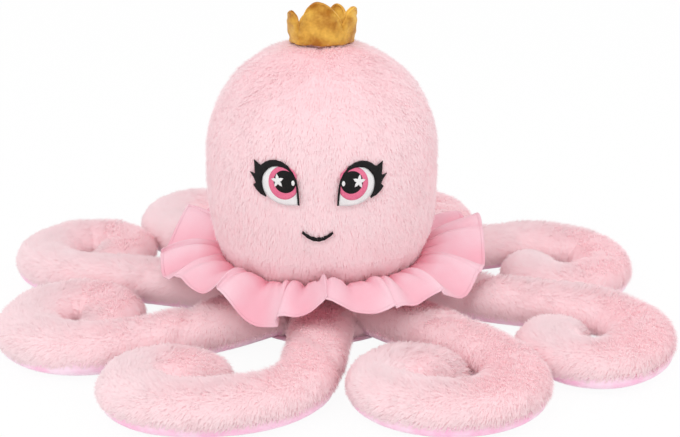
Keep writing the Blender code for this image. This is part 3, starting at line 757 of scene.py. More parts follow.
def pile_tree():
    """Scatters strands over a backing, combed along its own comb attribute in small tufts."""
    found = bpy.data.node_groups.get("Pile")
    if found:
        return found
    tree, given, result = group_of(
        "Pile",
        "GeometryNodeTree",
        (
            ("Backing", "Geometry", None),
            ("Strand", "Object", None),
            ("Embroidery", "Collection", None),
            ("Density", "Float", 300000.0),
            ("Length", "Float", 0.008),
            ("Width", "Float", 0.0012),
            ("Lay", "Float", 0.8),
            ("Tuft Size", "Float", 0.007),
            ("Depth", "Float", 0.0045),
            ("Seed", "Int", 1),
            ("Material", "Material", None),
        ),
        (("Geometry", "Geometry"),),
    )

    def named(name, kind="FLOAT"):
        node = add_node(tree, "GeometryNodeInputNamedAttribute", {"Name": name}, data_type=kind)
        return next(s for s in node.outputs if s.name == "Attribute" and s.enabled)

    def drawn(low, high, kind):
        inputs = {"Min": low, "Max": high, "Seed": given["Seed"]}
        node = add_node(tree, "FunctionNodeRandomValue", inputs, data_type=kind)
        return next(s for s in node.outputs if s.enabled)

    # points on the backing, each of which keeps the skin's normal
    density = math_node(tree, "MULTIPLY", given["Density"], named("pile_density"))
    inputs = {"Mesh": given["Backing"], "Density": density, "Seed": given["Seed"]}
    scatter = add_node(
        tree, "GeometryNodeDistributePointsOnFaces", inputs, distribute_method="RANDOM"
    ).outputs
    inputs = {"Geometry": scatter["Points"], "Name": "pile_normal", "Value": scatter["Normal"]}
    kept = geometry(
        tree, "StoreNamedAttribute", inputs, data_type="FLOAT_VECTOR", domain="POINT"
    )
    position = geometry(tree, "InputPosition")
    normal = named("pile_normal", "FLOAT_VECTOR")

    # none under the embroidery
    patches = geometry(tree, "CollectionInfo", {"Collection": given["Embroidery"]})
    patches = geometry(tree, "RealizeInstances", {"Geometry": patches})
    near = add_node(tree, "GeometryNodeProximity", {0: patches}, target_element="FACES")
    surface = vector_node(tree, "ADD", position, scaled(tree, normal, given["Depth"]))
    tree.links.new(surface, next(s for s in near.inputs if s.type == "VECTOR"))
    inputs = {0: near.outputs["Distance"], 1: PILE_CLEARANCE}
    bare = add_node(tree, "FunctionNodeCompare", inputs, operation="LESS_THAN", data_type="FLOAT")
    inputs = {"Switch": near.outputs["Is Valid"], "False": False, "True": bare.outputs[0]}
    bare = geometry(tree, "Switch", inputs, input_type="BOOLEAN")
    thinned = geometry(
        tree, "DeleteGeometry", {"Geometry": kept, "Selection": bare}, domain="POINT"
    )

    # each strand leans with the comb, with its tuft, with a broad swirl and a little by itself
    half = (0.5, 0.5, 0.5)
    fineness = math_node(tree, "DIVIDE", 1.0, given["Tuft Size"])
    lean = named("comb", "FLOAT_VECTOR")
    for scale, detail, share in ((fineness, 2.0, TUFT_LEAN), (28.0, 1.0, SWIRL_LEAN)):
        inputs = {"Vector": position, "Scale": scale, "Detail": detail}
        wave = vector_node(tree, "SUBTRACT", shade(tree, "TexNoise", inputs, "Color"), half)
        lean = vector_node(tree, "ADD", lean, scaled(tree, wave, share))
    lean = vector_node(tree, "ADD", lean, drawn((-0.3,) * 3, (0.3,) * 3, "FLOAT_VECTOR"))
    lean = vector_node(tree, "ADD", normal, scaled(tree, lean, given["Lay"]))
    direction = shade(tree, "VectorMath", {0: lean}, operation="NORMALIZE")
    inputs = {0: direction, 1: normal}
    turn = add_node(
        tree, "FunctionNodeAxesToRotation", inputs, primary_axis="Z", secondary_axis="Y"
    ).outputs[0]
    reach = math_node(tree, "MULTIPLY", given["Length"], named("pile_length"))
    reach = math_node(tree, "MULTIPLY", reach, drawn(0.75, 1.2, "FLOAT"))
    size = shade(tree, "CombineXYZ", {"X": given["Width"], "Y": reach, "Z": reach})

    strand = geometry(tree, "ObjectInfo", {"Object": given["Strand"]}, "Geometry")
    inputs = {"Points": thinned, "Instance": strand, "Rotation": turn, "Scale": size}
    planted = geometry(tree, "InstanceOnPoints", inputs)
    real = geometry(tree, "RealizeInstances", {"Geometry": planted})
    coloured = geometry(tree, "SetMaterial", {"Geometry": real, "Material": given["Material"]})
    joined = add_node(tree, "GeometryNodeJoinGeometry")
    tree.links.new(coloured, joined.inputs[0])
    tree.links.new(given["Backing"], joined.inputs[0])
    tree.links.new(joined.outputs[0], result[0])
    return tree


def set_pile(mesh, combs, densities, lengths):
    """Stores which way the pile lies at each point of a backing, how dense it is and how long."""
    set_attribute(mesh, "comb", "FLOAT_VECTOR", [tuple(c) for c in combs])
    set_attribute(mesh, "pile_density", "FLOAT", densities)
    set_attribute(mesh, "pile_length", "FLOAT", lengths)


def grow_pile(obj, seed, length=1.0):
    """Grows the pile on a backing mesh, and keeps the backing's soft shading on the strands."""
    look = bpy.context.scene.plush_pile
    thinning = QUICK_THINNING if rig.quick() else 1.0
    modifier = obj.modifiers.new("Pile", "NODES")
    modifier.node_group = pile_tree()
    values = {
        "Strand": strand_object(),
        "Embroidery": bpy.data.collections.get("embroidery"),
        "Density": look.density / thinning,
        "Length": look.length * length,
        "Width": look.width * sqrt(thinning),
        "Lay": look.lay,
        "Tuft Size": look.tuft,
        "Depth": look.depth,
        "Seed": seed,
        "Material": once("plush pile", pile_material),
    }
    for item in modifier.node_group.interface.items_tree:
        if item.item_type == "SOCKET" and item.in_out == "INPUT" and item.name in values:
            modifier[item.identifier] = values[item.name]
    finished(obj)
    mesh = obj.data
    normals = np.zeros(len(mesh.vertices) * 3, np.float32)
    stored = np.zeros_like(normals)
    mesh.vertex_normals.foreach_get("vector", normals)
    mesh.attributes["pile_normal"].data.foreach_get("vector", stored)
    normals = normals.reshape(-1, 3)
    stored = stored.reshape(-1, 3)
    strands = np.linalg.norm(stored, axis=1) > 0.5
    mixture = stored * 0.92 + normals * 0.08
    normals[strands] = mixture[strands]
    normals /= np.maximum(np.linalg.norm(normals, axis=1, keepdims=True), 1e-6)
    mesh.normals_split_custom_set_from_vertices([tuple(n) for n in normals])
    for name in ("pile_normal", "comb", "pile_density", "pile_length"):
        if name in mesh.attributes:
            mesh.attributes.remove(mesh.attributes[name])


# Head and body


def head_radius(z):
    """Outer radius of the pile at a height, down to the neck."""
    if z >= HEAD_WIDEST_Z:
        share = min((z - HEAD_WIDEST_Z) / HEAD_RISE, 1)
        return HEAD_RADIUS * (1 - share**HEAD_RISE_POWER) ** (1 / HEAD_RISE_POWER)
    share = (HEAD_WIDEST_Z - max(z, CHIN_Z)) / HEAD_DROP
    radius = HEAD_RADIUS * (1 - share**HEAD_DROP_POWER) ** (1 / HEAD_DROP_POWER)
    if z < CHIN_Z:
        down = (CHIN_Z - z) / (CHIN_Z - NECK_Z)
        radius += (NECK_RADIUS - radius) * down**1.35
    return radius


def head_height(radius):
    share = min(radius / HEAD_RADIUS, 1) ** HEAD_RISE_POWER
    return HEAD_WIDEST_Z + HEAD_RISE * (1 - share) ** (1 / HEAD_RISE_POWER)


def head_profile(steps):
    """Points of the head's outline from its top to the neck, with the direction out of each."""
    outline = []
    for i in range(steps):
        share = i / steps
        radius = HEAD_RADIUS * sin(share * pi / 2)
        outline.append((radius, head_height(radius)))
    for i in range(steps):
        z = HEAD_WIDEST_Z + (NECK_Z - HEAD_WIDEST_Z) * i / (steps - 1)
        outline.append((head_radius(z), z))
    points = np.array(outline)
    along = np.gradient(points, axis=0)
    along /= np.linalg.norm(along, axis=1, keepdims=True)
    out = np.stack([-along[:, 1], along[:, 0]], 1)
    out[0] = (0, 1)
    return points, out


def head_panel(name, first, last, steps, seed):
    """One fur panel of the head between two bearings, as a closed shell with its pile."""
    look = bpy.context.scene.plush_pile
    points, out = head_profile(44)
    rows = len(points)
    columns = steps + 1
    places = []
    combs = []
    lengths = []
    for depth in (look.depth, look.depth + PANEL_THICKNESS):
        for i in range(rows):
            for j in range(columns):
                share = j / steps
                bearing = radians(first + (last - first) * share)
                edge = min(share, 1 - share) * radians(last - first) * points[i, 0]
                sunk = SEAM_DIP * exp(-((edge / SEAM_WIDTH) ** 2))
                radius, z = points[i] - out[i] * (depth + sunk)
                place = polar(radius, bearing, z)
                swell = HEAD_UNEVENNESS * lumps(place, 22.0, 3.0)
                dart = abs(place.x - DART_X)
                if place.y < 0.02 and z > DART_START_Z:
                    fade = min((z - DART_START_Z) / 0.02, 1)
                    swell -= DART_DIP * fade * exp(-((dart / DART_WIDTH) ** 2))
                place += polar(out[i, 0], bearing, 0) * swell + Vector((0, 0, out[i, 1] * swell))
                places.append(place)
                combs.append(polar(out[i, 1], bearing, -out[i, 0]))
                seam = 1 - 0.45 * exp(-((edge / 0.005) ** 2))
                if place.y < 0.02 and z > 0.20:
                    seam *= 1 - 0.4 * exp(-((dart / 0.0035) ** 2))
                seam *= 1 + 0.45 * eased(CHIN_Z - z, 0, 0.018)
                lengths.append(0.0 if depth > look.depth else seam)
    faces = two_grids(rows, columns, False)
    ring = grid_border(rows, columns)
    shift = rows * columns
    for a, b in zip(ring, ring[1:] + ring[:1]):
        faces.append((b, a, a + shift, b + shift))
    mesh = mesh_of(name, places, faces, once("plush backing", backing_material))
    set_pile(mesh, combs, [1.0 if v > 0 else 0.0 for v in lengths], lengths)
    face_outwards(mesh, weld=0.00005)
    obj = add_object(name, mesh)
    grow_pile(obj, seed)
    return obj


def turned_shell(name, profile, steps, material):
    """A closed solid of revolution from a profile that starts and ends on the axis."""
    points = [Vector((0, 0, profile[0][1]))]
    for radius, z in profile[1:-1]:
        points += [polar(radius, 2 * pi * j / steps, z) for j in range(steps)]
    points.append(Vector((0, 0, profile[-1][1])))
    faces = grid_faces(len(profile) - 2, steps, True, 1)
    last = len(points) - 1
    for j in range(steps):
        k = (j + 1) % steps
        faces += [(0, 1 + k, 1 + j), (last, last - steps + j, last - steps + k)]
    mesh = mesh_of(name, points, faces, material)
    face_outwards(mesh)
    return add_object(name, mesh)


# Legs


def leg_line(leg, count=400):
    """The middle line of a leg on the floor: points, headings and distance along it."""
    bearing, lean, length, turns = leg
    along = np.linspace(-LEG_INSIDE, length, count)
    stretch = (length - TIP_REACH) / len(turns)
    middles = (np.arange(len(turns)) + 0.5) * stretch
    rates = np.radians(turns) / stretch
    rate = np.interp(along, np.r_[0, middles], np.r_[0, rates])
    turned_by = np.r_[0, np.cumsum((rate[1:] + rate[:-1]) / 2 * np.diff(along))]
    heading = radians(bearing + lean) + turned_by
    middle = (heading[1:] + heading[:-1]) / 2
    steps = np.stack([np.cos(middle), np.sin(middle)], 1) * np.diff(along)[:, None]
    first = np.array([cos(heading[0]), sin(heading[0])])
    out = np.array([cos(radians(bearing)), sin(radians(bearing))])
    start = LEG_START * out - LEG_INSIDE * first
    return np.vstack([start, start + np.cumsum(steps, 0)]), heading, along, rate


def hinge_of(leg):
    """A leg's hinge point and the level direction out across it."""
    points, _, _, _ = leg_line(leg)
    index = int(np.argmax(np.linalg.norm(points, axis=1) > HINGE_RADIUS))
    x, y = points[index]
    out = atan2(y, x) - radians(HINGE_SKEW)
    return Vector((x, y, 0.023)), Vector((cos(out), sin(out), 0))


def leg_half(share):
    """Half width, half height and how far the tip has rounded off, at a share of the length."""
    share = min(max(share, 0), 1)
    tip = max(share - (1 - TIP_ROUND), 0) / TIP_ROUND
    rounding = sqrt(max(1 - tip**2.2, 0.0))
    width, height = (a + (b - a) * share for a, b in zip(ROOT_HALF, TIP_HALF))
    return width + COIL_PLUMP * eased(share, 0.22, 0.45), height, rounding


def leg_point(turn, width, height, rounding, depth):
    """Across and up for an angle from the underside, at a depth inside the pile."""
    sole = cos(radians(SOLE_ANGLE))
    rise = max(sole - cos(turn), 0) / (sole + 1) * 2 * height
    across = copysign(abs(sin(turn)) ** 0.93, sin(turn)) * width
    inner_width = max(width * rounding - depth, 0) / width
    inner_height = max(height * rounding - depth, 0) / height
    middle = height * (1 - 0.55 * (1 - rounding))
    return across * inner_width, middle + (rise - height) * inner_height


def coil_fill(share, bend, across):
    """How much further out a side goes where a curled leg presses on its own turns."""
    inside = -copysign(1, bend) * across
    turn = eased(share, 0.30, 0.46) * max(inside, 0)
    tip = eased(share, 0.78, 0.90) * abs(across)
    return copysign(COIL_FILL * max(turn, tip), across)


def leg_stations(leg, spacing):
    length = leg[2]
    body = np.arange(-LEG_INSIDE, length * (1 - TIP_ROUND), spacing)
    tip = length * (1 - TIP_ROUND) + length * TIP_ROUND * np.sin(np.linspace(0, pi / 2, 12))
    return np.concatenate([body[:-1], tip])


def seams_at(share, seed):
    """Angles of the two seams from the underside: the outer one climbs the side of the coil."""
    climb = eased(share, 0.18, 0.36) * (1 - eased(share, 0.80, 0.95))
    climb *= 0.75 + 0.6 * lumps((share * 9, seed, 0), 1.0) + 0.2 * lumps((share * 31, seed, 0), 1.0)
    return radians(INNER_SEAM), radians(INNER_SEAM + (OUTER_SEAM - INNER_SEAM) * climb)


def leg_shape(leg, spacing, angles_at, depth, seed, soft=1.0):
    """Rings of points along a leg, with the direction down the sides and along at each.

    angles_at gives the angles of a ring's points from the underside, at a share of the length.
    """
    points, heading, along, rate = leg_line(leg)
    hinge, out = hinge_of(leg)
    rings = []
    combs = []
    for station in leg_stations(leg, spacing):
        share = station / leg[2]
        x, y = (np.interp(station, along, points[:, k]) for k in (0, 1))
        angle = np.interp(station, along, heading)
        bend = np.interp(station, along, rate)
        side = Vector((sin(angle), -cos(angle), 0))
        ahead = Vector((cos(angle), sin(angle), 0))
        width, height, rounding = leg_half(share)
        ring = []
        angles = angles_at(share)
        for turn, sunk in zip(angles, np.broadcast_to(depth, len(angles))):
            u, v = leg_point(turn, width, height, rounding, float(sunk))
            u += coil_fill(share, bend, u / width) * soft * eased(v, 0.004, 0.016)
            place = Vector((x, y, 0)) + side * u + Vector((0, 0, v))
            upper = min(max((v - 0.010) / 0.02, 0), 1)
            swell = sum(size * lumps(place, scale, seed + n) for size, scale, n in LEG_LUMPS)
            inside = max(-copysign(1, bend) * u / width, 0) * min(abs(bend) / 30, 1)
            crease = abs(sin(pi * station / CREASE_PITCH + seed))
            swell -= CREASE_DEPTH * inside * (1 - crease) ** 2
            across_hinge = (place - hinge).dot(out)
            swell -= HINGE_DIP * exp(-((across_hinge / HINGE_DIP_WIDTH) ** 2))
            outward = Vector((0, 0, v - height)) + side * u
            if outward.length > 1e-5:
                place += outward.normalized() * swell * soft * upper * rounding
            ring.append(place)
            edge = u / width
            combs.append(side * edge * 0.45 + Vector((0, 0, -0.9 * edge * edge)) + ahead * 0.6)
        rings.append(ring)
    return rings, combs


def closed_tube(name, rings, material):
    count = len(rings[0])
    points = [p for ring in rings for p in ring]
    faces = grid_faces(len(rings), count)
    faces.append(tuple(range(count - 1, -1, -1)))
    last = len(points) - count
    faces.append(tuple(range(last, last + count)))
    mesh = mesh_of(name, points, faces, material)
    face_outwards(mesh)
    return add_object(name, mesh)


def leg_fur(name, leg, seed):
    look = bpy.context.scene.plush_pile
    upper = 41
    lower = 6

    def angles_at(share):
        inner, outer = seams_at(share, seed)
        over = list(np.linspace(inner, 2 * pi - outer, upper))
        return over + list(np.linspace(2 * pi - outer, 2 * pi + inner, lower + 2))[1:-1]

    rings, combs = leg_shape(leg, RING_SPACING, angles_at, look.depth, seed)
    obj = closed_tube(f"leg_{name}_plush", rings, once("plush backing", backing_material))
    furred = [1.0] * upper + [0.0] * lower
    lengths = [0.8 + 0.2 * eased(min(i, upper - 1 - i), 0, 5) for i in range(upper)]
    set_pile(obj.data, combs, furred * len(rings), (lengths + [0.5] * lower) * len(rings))
    grow_pile(obj, seed)
    stand_for(obj, "fur", f"leg_{name}_fur", f"leg_{name}_root", ride=False, fill=0.8)
    return obj


def leg_sole(name, leg, seed):
    """The satin underside: a thin cloth from seam to seam, flat where it rests on the floor."""

    def angles_at(share):
        low, high = seams_at(share, seed)
        tucked = radians(3)
        return list(np.linspace(-high - tucked, low + tucked, 21))

    tuck = [SEAM_TUCK * max(abs(i - 10) / 10 - 0.7, 0) / 0.3 for i in range(21)]
    outer, inner = (
        leg_shape(leg, RING_SPACING, angles_at, [depth + t for t in tuck], seed, 0.0)[0]
        for depth in SOLE_DEPTHS
    )
    flat_width = 0.0
    for ring in outer:
        flat_width += sum((b - a).length for a, b in zip(ring, ring[1:])) / len(outer)
        for i, point in enumerate(ring):
            pucker = sin(pi * i / (len(ring) - 1)) ** 0.5
            point.z += 0.0006 * (1 - pucker) * lumps(point, 300.0, seed)
    rings = [a + b[::-1] for a, b in zip(outer, inner)]
    obj = closed_tube(f"leg_{name}_sole", rings, once("sole satin", satin_material))
    stand_for(obj, "satin", f"leg_{name}_satin", ride=False)
    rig.sheet(obj, flat=(flat_width, leg[2] + LEG_INSIDE), held="stretched")
    return obj


def leg_filling(name, leg, seed):
    angles = list(np.linspace(0, 2 * pi, 25))[:-1]
    rings, _ = leg_shape(
        leg, WADDING_RING_SPACING, lambda share: angles, LEG_WADDING_DEPTH, seed
    )
    wadding = once("loose wadding", filling_material)
    obj = closed_tube(f"leg_{name}_wadding", rings[:-3], wadding)
    stand_for(obj, "filling", f"leg_{name}_filling", ride=False, fill=0.8)
    return obj


def bend_with_leg(obj, name, leg):
    hinge, out = hinge_of(leg)
    reach = out * HINGE_SOFTNESS
    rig.blend(obj, "torso", f"leg_{name}", start=tuple(hinge - reach), end=tuple(hinge + reach))


# Collar


def rim_curve():
    """A closed smooth curve through the collar's rim points: radius and height by bearing."""
    bearings = np.array([row[0] for row in FRILL_RIM], float)
    values = np.array([row[1:] for row in FRILL_RIM], float) / 1000
    count = len(bearings)
    around = np.concatenate([bearings - 360, bearings, bearings + 360])
    levels = np.concatenate([values, values, values])

    def at(bearing):
        k = int(np.searchsorted(around, bearing, side="right")) - 1
        k = min(max(k, 1), 3 * count - 3)
        span = around[k + 1] - around[k]
        t = (bearing - around[k]) / span
        slope0 = (levels[k + 1] - levels[k - 1]) / (around[k + 1] - around[k - 1]) * span
        slope1 = (levels[k + 2] - levels[k]) / (around[k + 2] - around[k]) * span
        ease = 3 * t * t - 2 * t**3
        bend = (t**3 - 2 * t * t + t) * slope0 + (t**3 - t * t) * slope1
        return levels[k] * (1 - ease) + levels[k + 1] * ease + bend

    return at


def frill_place(rim, bearing, share):
    """A point of the gathered cloth, and how high it is on its fold.

    Fine pleats at the neck merge into broad folds at the rim.
    """
    look = bpy.context.scene.plush_collar
    turn = radians(bearing)
    ring = (3 * cos(turn), 3 * sin(turn), 0.5)
    wander = turn + 0.09 * lumps(ring, 0.9, 1.0) + 0.03 * lumps(ring, 2.7, 4.0)
    radius, height = rim(bearing)
    reach = FRILL_RADIUS + (radius - FRILL_RADIUS) * share
    from_front = (bearing - FRILL_FRONT_BEARING) / FRILL_FRONT_SPREAD
    arch = FRILL_ARCH + FRILL_FRONT_LIFT * exp(-(from_front**2))
    level = FRILL_Z + (height - FRILL_Z) * share**1.2 + arch * sin(pi * share**0.8)
    fine = sin(look.pleats * wander) + 0.35 * sin(2 * look.pleats * wander + 1.3)
    fine *= 0.75 + 0.6 * lumps(ring, 3.1, 7.0)
    broad = sin(look.folds * wander + 0.6) + 0.35 * sin(2 * look.folds * wander + 2.0)
    broad *= 0.8 + 0.9 * lumps(ring, 1.7, 11.0)
    level += look.pleat_depth * fine * 2.6 * sqrt(share) * exp(-3.2 * share)
    level += look.fold_depth * broad * sin(pi * min(share * 0.72, 1)) ** 1.1
    turn += cos(look.folds * wander + 0.6) * look.fold_depth * 1.1 * share / reach
    return polar(reach, turn, level), broad * share + fine * (1 - share) ** 2


def set_cloth_map(mesh, columns, flat):
    """Stores where each point of a grid lies on the flat cloth, from its row and column."""
    uv = mesh.uv_layers.new(name="cloth")
    for loop in mesh.loops:
        uv.data[loop.index].uv = flat(*divmod(loop.vertex_index, columns))


def thicken(obj, thickness, offset):
    solidify = obj.modifiers.new("thickness", "SOLIDIFY")
    solidify.thickness = thickness
    solidify.offset = offset


def cloth_strip(name, first, last, rows, thickness, material):
    """A band of the collar between two shares of its depth, as a thin closed shell."""
    columns = 720
    rim = rim_curve()
    points = []
    crests = []
    for i in range(rows):
        share = first + (last - first) * i / (rows - 1)
        for j in range(columns):
            point, crest = frill_place(rim, 360 * j / columns, share)
            points.append(point)
            crests.append(crest)

    def flat(row, column):
        return column / columns, FRILL_FLAT[1] * (first + (last - first) * row / (rows - 1))

    mesh = mesh_of(name, points, grid_faces(rows, columns), material)
    set_attribute(mesh, "crest", "FLOAT", crests)
    set_cloth_map(mesh, columns, flat)
    obj = add_object(name, mesh)
    thicken(obj, thickness, 0)
    finished(obj)
    face_outwards(obj.data)
    return obj


def neck_tape():
    """The woven tape round the neck, with a rounded edge, that the collar is gathered on."""
    steps = 240
    ring = 14
    thickness = 0.0012
    low, high = TAPE_Z
    points = []
    for j in range(steps):
        turn = 2 * pi * j / steps
        for i in range(ring):
            share = 2 * pi * i / ring
            waves = (cos(share), sin(share))
            across, up = (copysign(abs(wave) ** 0.3, wave) / 2 for wave in waves)
            radius = TAPE_RADIUS - thickness / 2 + across * thickness
            z = (low + high) / 2 + up * (high - low) + 0.0001 * sin(80 * turn)
            points.append(polar(radius, turn, z))
    faces = grid_faces(steps, ring)
    last = (steps - 1) * ring
    faces += [(last + i, last + (i + 1) % ring, (i + 1) % ring, i) for i in range(ring)]
    mesh = mesh_of("neck_tape_weave", points, faces, once("neck tape cotton", tape_material))
    face_outwards(mesh)
    return add_object("neck_tape_weave", mesh)


# Embroidery


def on_face(u, z, lift):
    """The place on the head's front for millimetres across and up, at a lift off the pile."""
    x = u / 1000
    radius = head_radius(z / 1000) + lift
    return Vector((x, -sqrt(radius * radius - x * x), z / 1000))


def smooth_loop(outline, between):
    """A closed smooth line through an outline's points."""
    count = len(outline)
    line = []
    for i in range(count):
        p0, p1, p2, p3 = (np.array(outline[(i + k) % count]) for k in (-1, 0, 1, 2))
        for step in range(between):
            t = step / between
            point = 2 * p1 + (p2 - p0) * t + (2 * p0 - 5 * p1 + 4 * p2 - p3) * t * t
            line.append(tuple(0.5 * (point + (3 * p1 - p0 - 3 * p2 + p3) * t**3)))
    return line


def stitched_shell(name, points, rows, columns, closed, material):
    """A patch of stitching: its front, its back a little behind, and the edge between."""
    count = len(points)
    faces = two_grids(rows, columns, closed)
    if closed:
        loops = [list(range(columns)), list(range(count - columns, count))]
    else:
        loops = [grid_border(rows, columns)]
    for loop in loops:
        for a, b in zip(loop, loop[1:] + loop[:1]):
            faces.append((a, b, b + count, a + count))
    below = [p + Vector((0, STITCH_DEPTH, 0)) for p in points]
    mesh = mesh_of(name, points + below, faces, material)
    face_outwards(mesh)
    return add_object(name, mesh, bpy.data.collections["embroidery"])


def stitched_fill(name, centre, outline, lift, puff, material):
    """Satin stitch that fills an outline, swollen a little in its middle."""
    steps = 9
    points = []
    for i in range(steps + 1):
        share = max(i, 0.02) / steps
        rise = puff * sqrt(max(1 - (i / steps) ** 4, 0))
        for line in outline:
            u, z = (c + (p - c) * share for c, p in zip(centre, line))
            points.append(on_face(u, z, lift + rise))
    return stitched_shell(name, points, steps + 1, len(outline), True, material)


def stitched_band(name, pairs, lift, puff, material, between=5):
    """Satin stitch between two lines: pairs of an outer and an inner point."""
    line = []
    for first, second in zip(pairs, pairs[1:]):
        for step in range(between):
            t = step / between
            line.append(
                [tuple(p + (q - p) * t for p, q in zip(a, b)) for a, b in zip(first, second)]
            )
    line.append(pairs[-1])
    rows = 9
    points = []
    for i in range(rows):
        share = i / (rows - 1)
        rise = puff * sqrt(max(1 - (2 * share - 1) ** 4, 0))
        for outer, inner in line:
            u, z = (p + (q - p) * share for p, q in zip(outer, inner))
            points.append(on_face(u, z, lift + rise))
    return stitched_shell(name, points, rows, len(line), False, material)


def oval(centre, half, steps=48):
    turns = [2 * pi * i / steps for i in range(steps)]
    return [(centre[0] + half[0] * cos(t), centre[1] + half[1] * sin(t)) for t in turns]


def star():
    tip, notch = STAR_REACH
    middle = (tip + notch) / 2.15
    outline = []
    for i in range(20):
        turn = radians(82 + 18 * i)
        reach = (tip, middle, notch, middle)[i % 4]
        outline.append((STAR_AT[0] + reach * cos(turn) * 0.88, STAR_AT[1] + reach * sin(turn)))
    return outline


def make_eye(side, sign):
    lift = bpy.context.scene.plush_face.lift
    threads = {
        "black": once("black thread", black_thread),
        "white": once("white thread", white_thread),
        "pink": once("pink thread", pink_thread),
    }
    middle = FACE_X + sign * EYE_OUT

    def place(point):
        return (middle + sign * point[0], EYE_Z + point[1])

    iris = [(max(u, IRIS_INNER), z) for u, z in oval(IRIS_AT, IRIS)]
    # part, thread, centre, outline, height over the first layer and puff, both in metres
    patches = (
        ("white", "white", (0, -1), WHITE_OUTLINE, 0.0, 0.0005),
        ("iris", "pink", IRIS_AT, iris, 0.0006, 0.0004),
        ("pupil", "black", PUPIL_AT, oval(PUPIL_AT, PUPIL), 0.0012, 0.0004),
        ("star", "white", STAR_AT, star(), 0.0018, 0.0004),
        ("glint", "white", GLINT_AT, oval(GLINT_AT, GLINT, 20), 0.0018, 0.0003),
    )
    for part, thread, centre, outline, layer, puff in patches:
        name = f"eye_{side}_{part}_stitching"
        line = [place(p) for p in outline]
        if part == "white":
            line = smooth_loop(line, 4)
        piece = stitched_fill(name, place(centre), line, lift + layer, puff, threads[thread])
        stand_for(piece, f"{thread}_thread", f"eye_{side}_{part}")
    name = f"eye_{side}_lash_stitching"
    pairs = [(place(a), place(b)) for a, b in LID]
    lashes = stitched_band(name, pairs, lift + 0.0008, 0.0006, threads["black"])
    stand_for(lashes, "black_thread", f"eye_{side}_lashes")


def make_mouth():
    lift = bpy.context.scene.plush_face.lift + MOUTH_LIFT
    pairs = []
    steps = 24
    for i in range(steps + 1):
        t = 2 * i / steps - 1
        u = FACE_X - 0.6 + MOUTH_HALF_WIDTH * t
        z = MOUTH_Z[1] + (MOUTH_Z[0] - MOUTH_Z[1]) * t * t
        half = MOUTH_THICK[0] + (MOUTH_THICK[1] - MOUTH_THICK[0]) * (1 - t * t)
        half *= 1 + 0.12 * sin(17 * t)
        lean = 0.45 * t
        pairs.append(((u - lean * half, z + half), (u + lean * half, z - half)))
    black = once("black thread", black_thread)
    piece = stitched_band("mouth_satin_stitching", pairs, lift, 0.0009, black, 2)
    stand_for(piece, "black_thread", "mouth_stitching")


# Crown


def crown_top(bearing):
    """Height of the crown's edge over its foot, at a bearing in degrees."""
    height = CROWN_VALLEY
    for middle, top, before, after in CROWN_LOBES:
        away = (bearing - middle + 180) % 360 - 180
        spread = after if away > 0 else before
        if abs(away) < spread:
            rounded = (1 - (abs(away) / spread) ** 1.9) ** 0.85
            height = max(height, CROWN_VALLEY + (top - CROWN_VALLEY) * rounded)
    return height


def crown_wall(name, radius, bulge, material):
    """One cloth of the padded crown, from its foot to its pointed edge."""
    rows = 22
    columns = 180
    points = []
    for i in range(rows):
        share = i / (rows - 1)
        for j in range(columns):
            bearing = 2 * pi * j / columns
            rise = crown_top(degrees(bearing)) * share
            swell = bulge * sin(pi * share) ** 0.7
            swell += CROWN_FOOT_ROLL * bulge / abs(bulge) * exp(-((share / 0.16) ** 2))
            closing = eased(share, 0.72, 1.0)
            flare = CROWN_FLARE * rise / CROWN_FLARE_AT
            reach = radius + swell - 0.5 * bulge * closing + flare
            x = reach * cos(bearing)
            y = CROWN_Y + reach * sin(bearing)
            dent = CROWN_DENTS[0] * lumps((x, y, rise * 1.8), 62.0, 8.0)
            dent += CROWN_DENTS[1] * lumps((x, y, rise), 190.0, 2.0)
            x += dent * cos(bearing)
            y += dent * sin(bearing)
            foot = head_height(hypot(x, y)) - CROWN_SINK
            ripple = 0.0004 * sin(9 * bearing) * (1 - share)
            points.append(Vector((x, y, foot + rise + ripple)))
    mesh = mesh_of(name, points, grid_faces(rows, columns), material)
    set_cloth_map(
        mesh, columns, lambda row, column: (0.05 * row / rows, 0.19 * column / columns)
    )
    obj = add_object(name, mesh)
    thicken(obj, VELOUR_THICKNESS, -1 if bulge > 0 else 1)
    bevel = obj.modifiers.new("soft edge", "BEVEL")
    bevel.width = VELOUR_EDGE
    bevel.segments = 2
    bevel.limit_method = "ANGLE"
    finished(obj)
    face_outwards(obj.data)
    obj.data.shade_smooth()
    return obj


# Settings


def amount(name, description, default, low=0.0):
    return bpy.props.FloatProperty(name=name, description=description, default=default, min=low)


def measure(name, description, default):
    return bpy.props.FloatProperty(
        name=name, description=description, default=default, unit="LENGTH"
    )


def colour(name, description, default):
    return bpy.props.FloatVectorProperty(
        name=name, description=description, default=default, subtype="COLOR"
    )


def whole(name, description, default, low):
    return bpy.props.IntProperty(name=name, description=description, default=default, min=low)


class PlushPileSettings(bpy.types.PropertyGroup):
    density: amount("Strands", "Strands on a square metre", 820000.0, 1000.0)
    length: measure("Length", "Length of a strand", 0.0062)
    width: measure("Width", "Width of a strand", 0.00075)
    lay: amount("Lay", "How far the pile lies over", 1.05)
    tuft: measure("Tuft", "Size of the tufts that lean together", 0.008)
    depth: measure("Depth", "Depth of the backing under the pile", 0.0045)
    tip_colour: colour("Tip", "Colour of the strand tips", (0.95, 0.765, 0.79))
    tip_shade: colour("Tip shade", "Deeper colour of some tips", (0.95, 0.73, 0.76))
    root_colour: colour("Root", "Colour of the strand roots", (0.96, 0.74, 0.77))
    backing_colour: colour("Backing", "Colour of the backing", (0.96, 0.70, 0.73))


class PlushLegSettings(bpy.types.PropertyGroup):
    # the two satin colours are a lit and a shaded copy of one satin: painted sheen and painted fold shade
    satin_light: colour("Satin light", "Satin in the light", (0.98, 0.76, 0.88))
    satin_deep: colour("Satin deep", "Satin in its folds", (0.95, 0.50, 0.70))


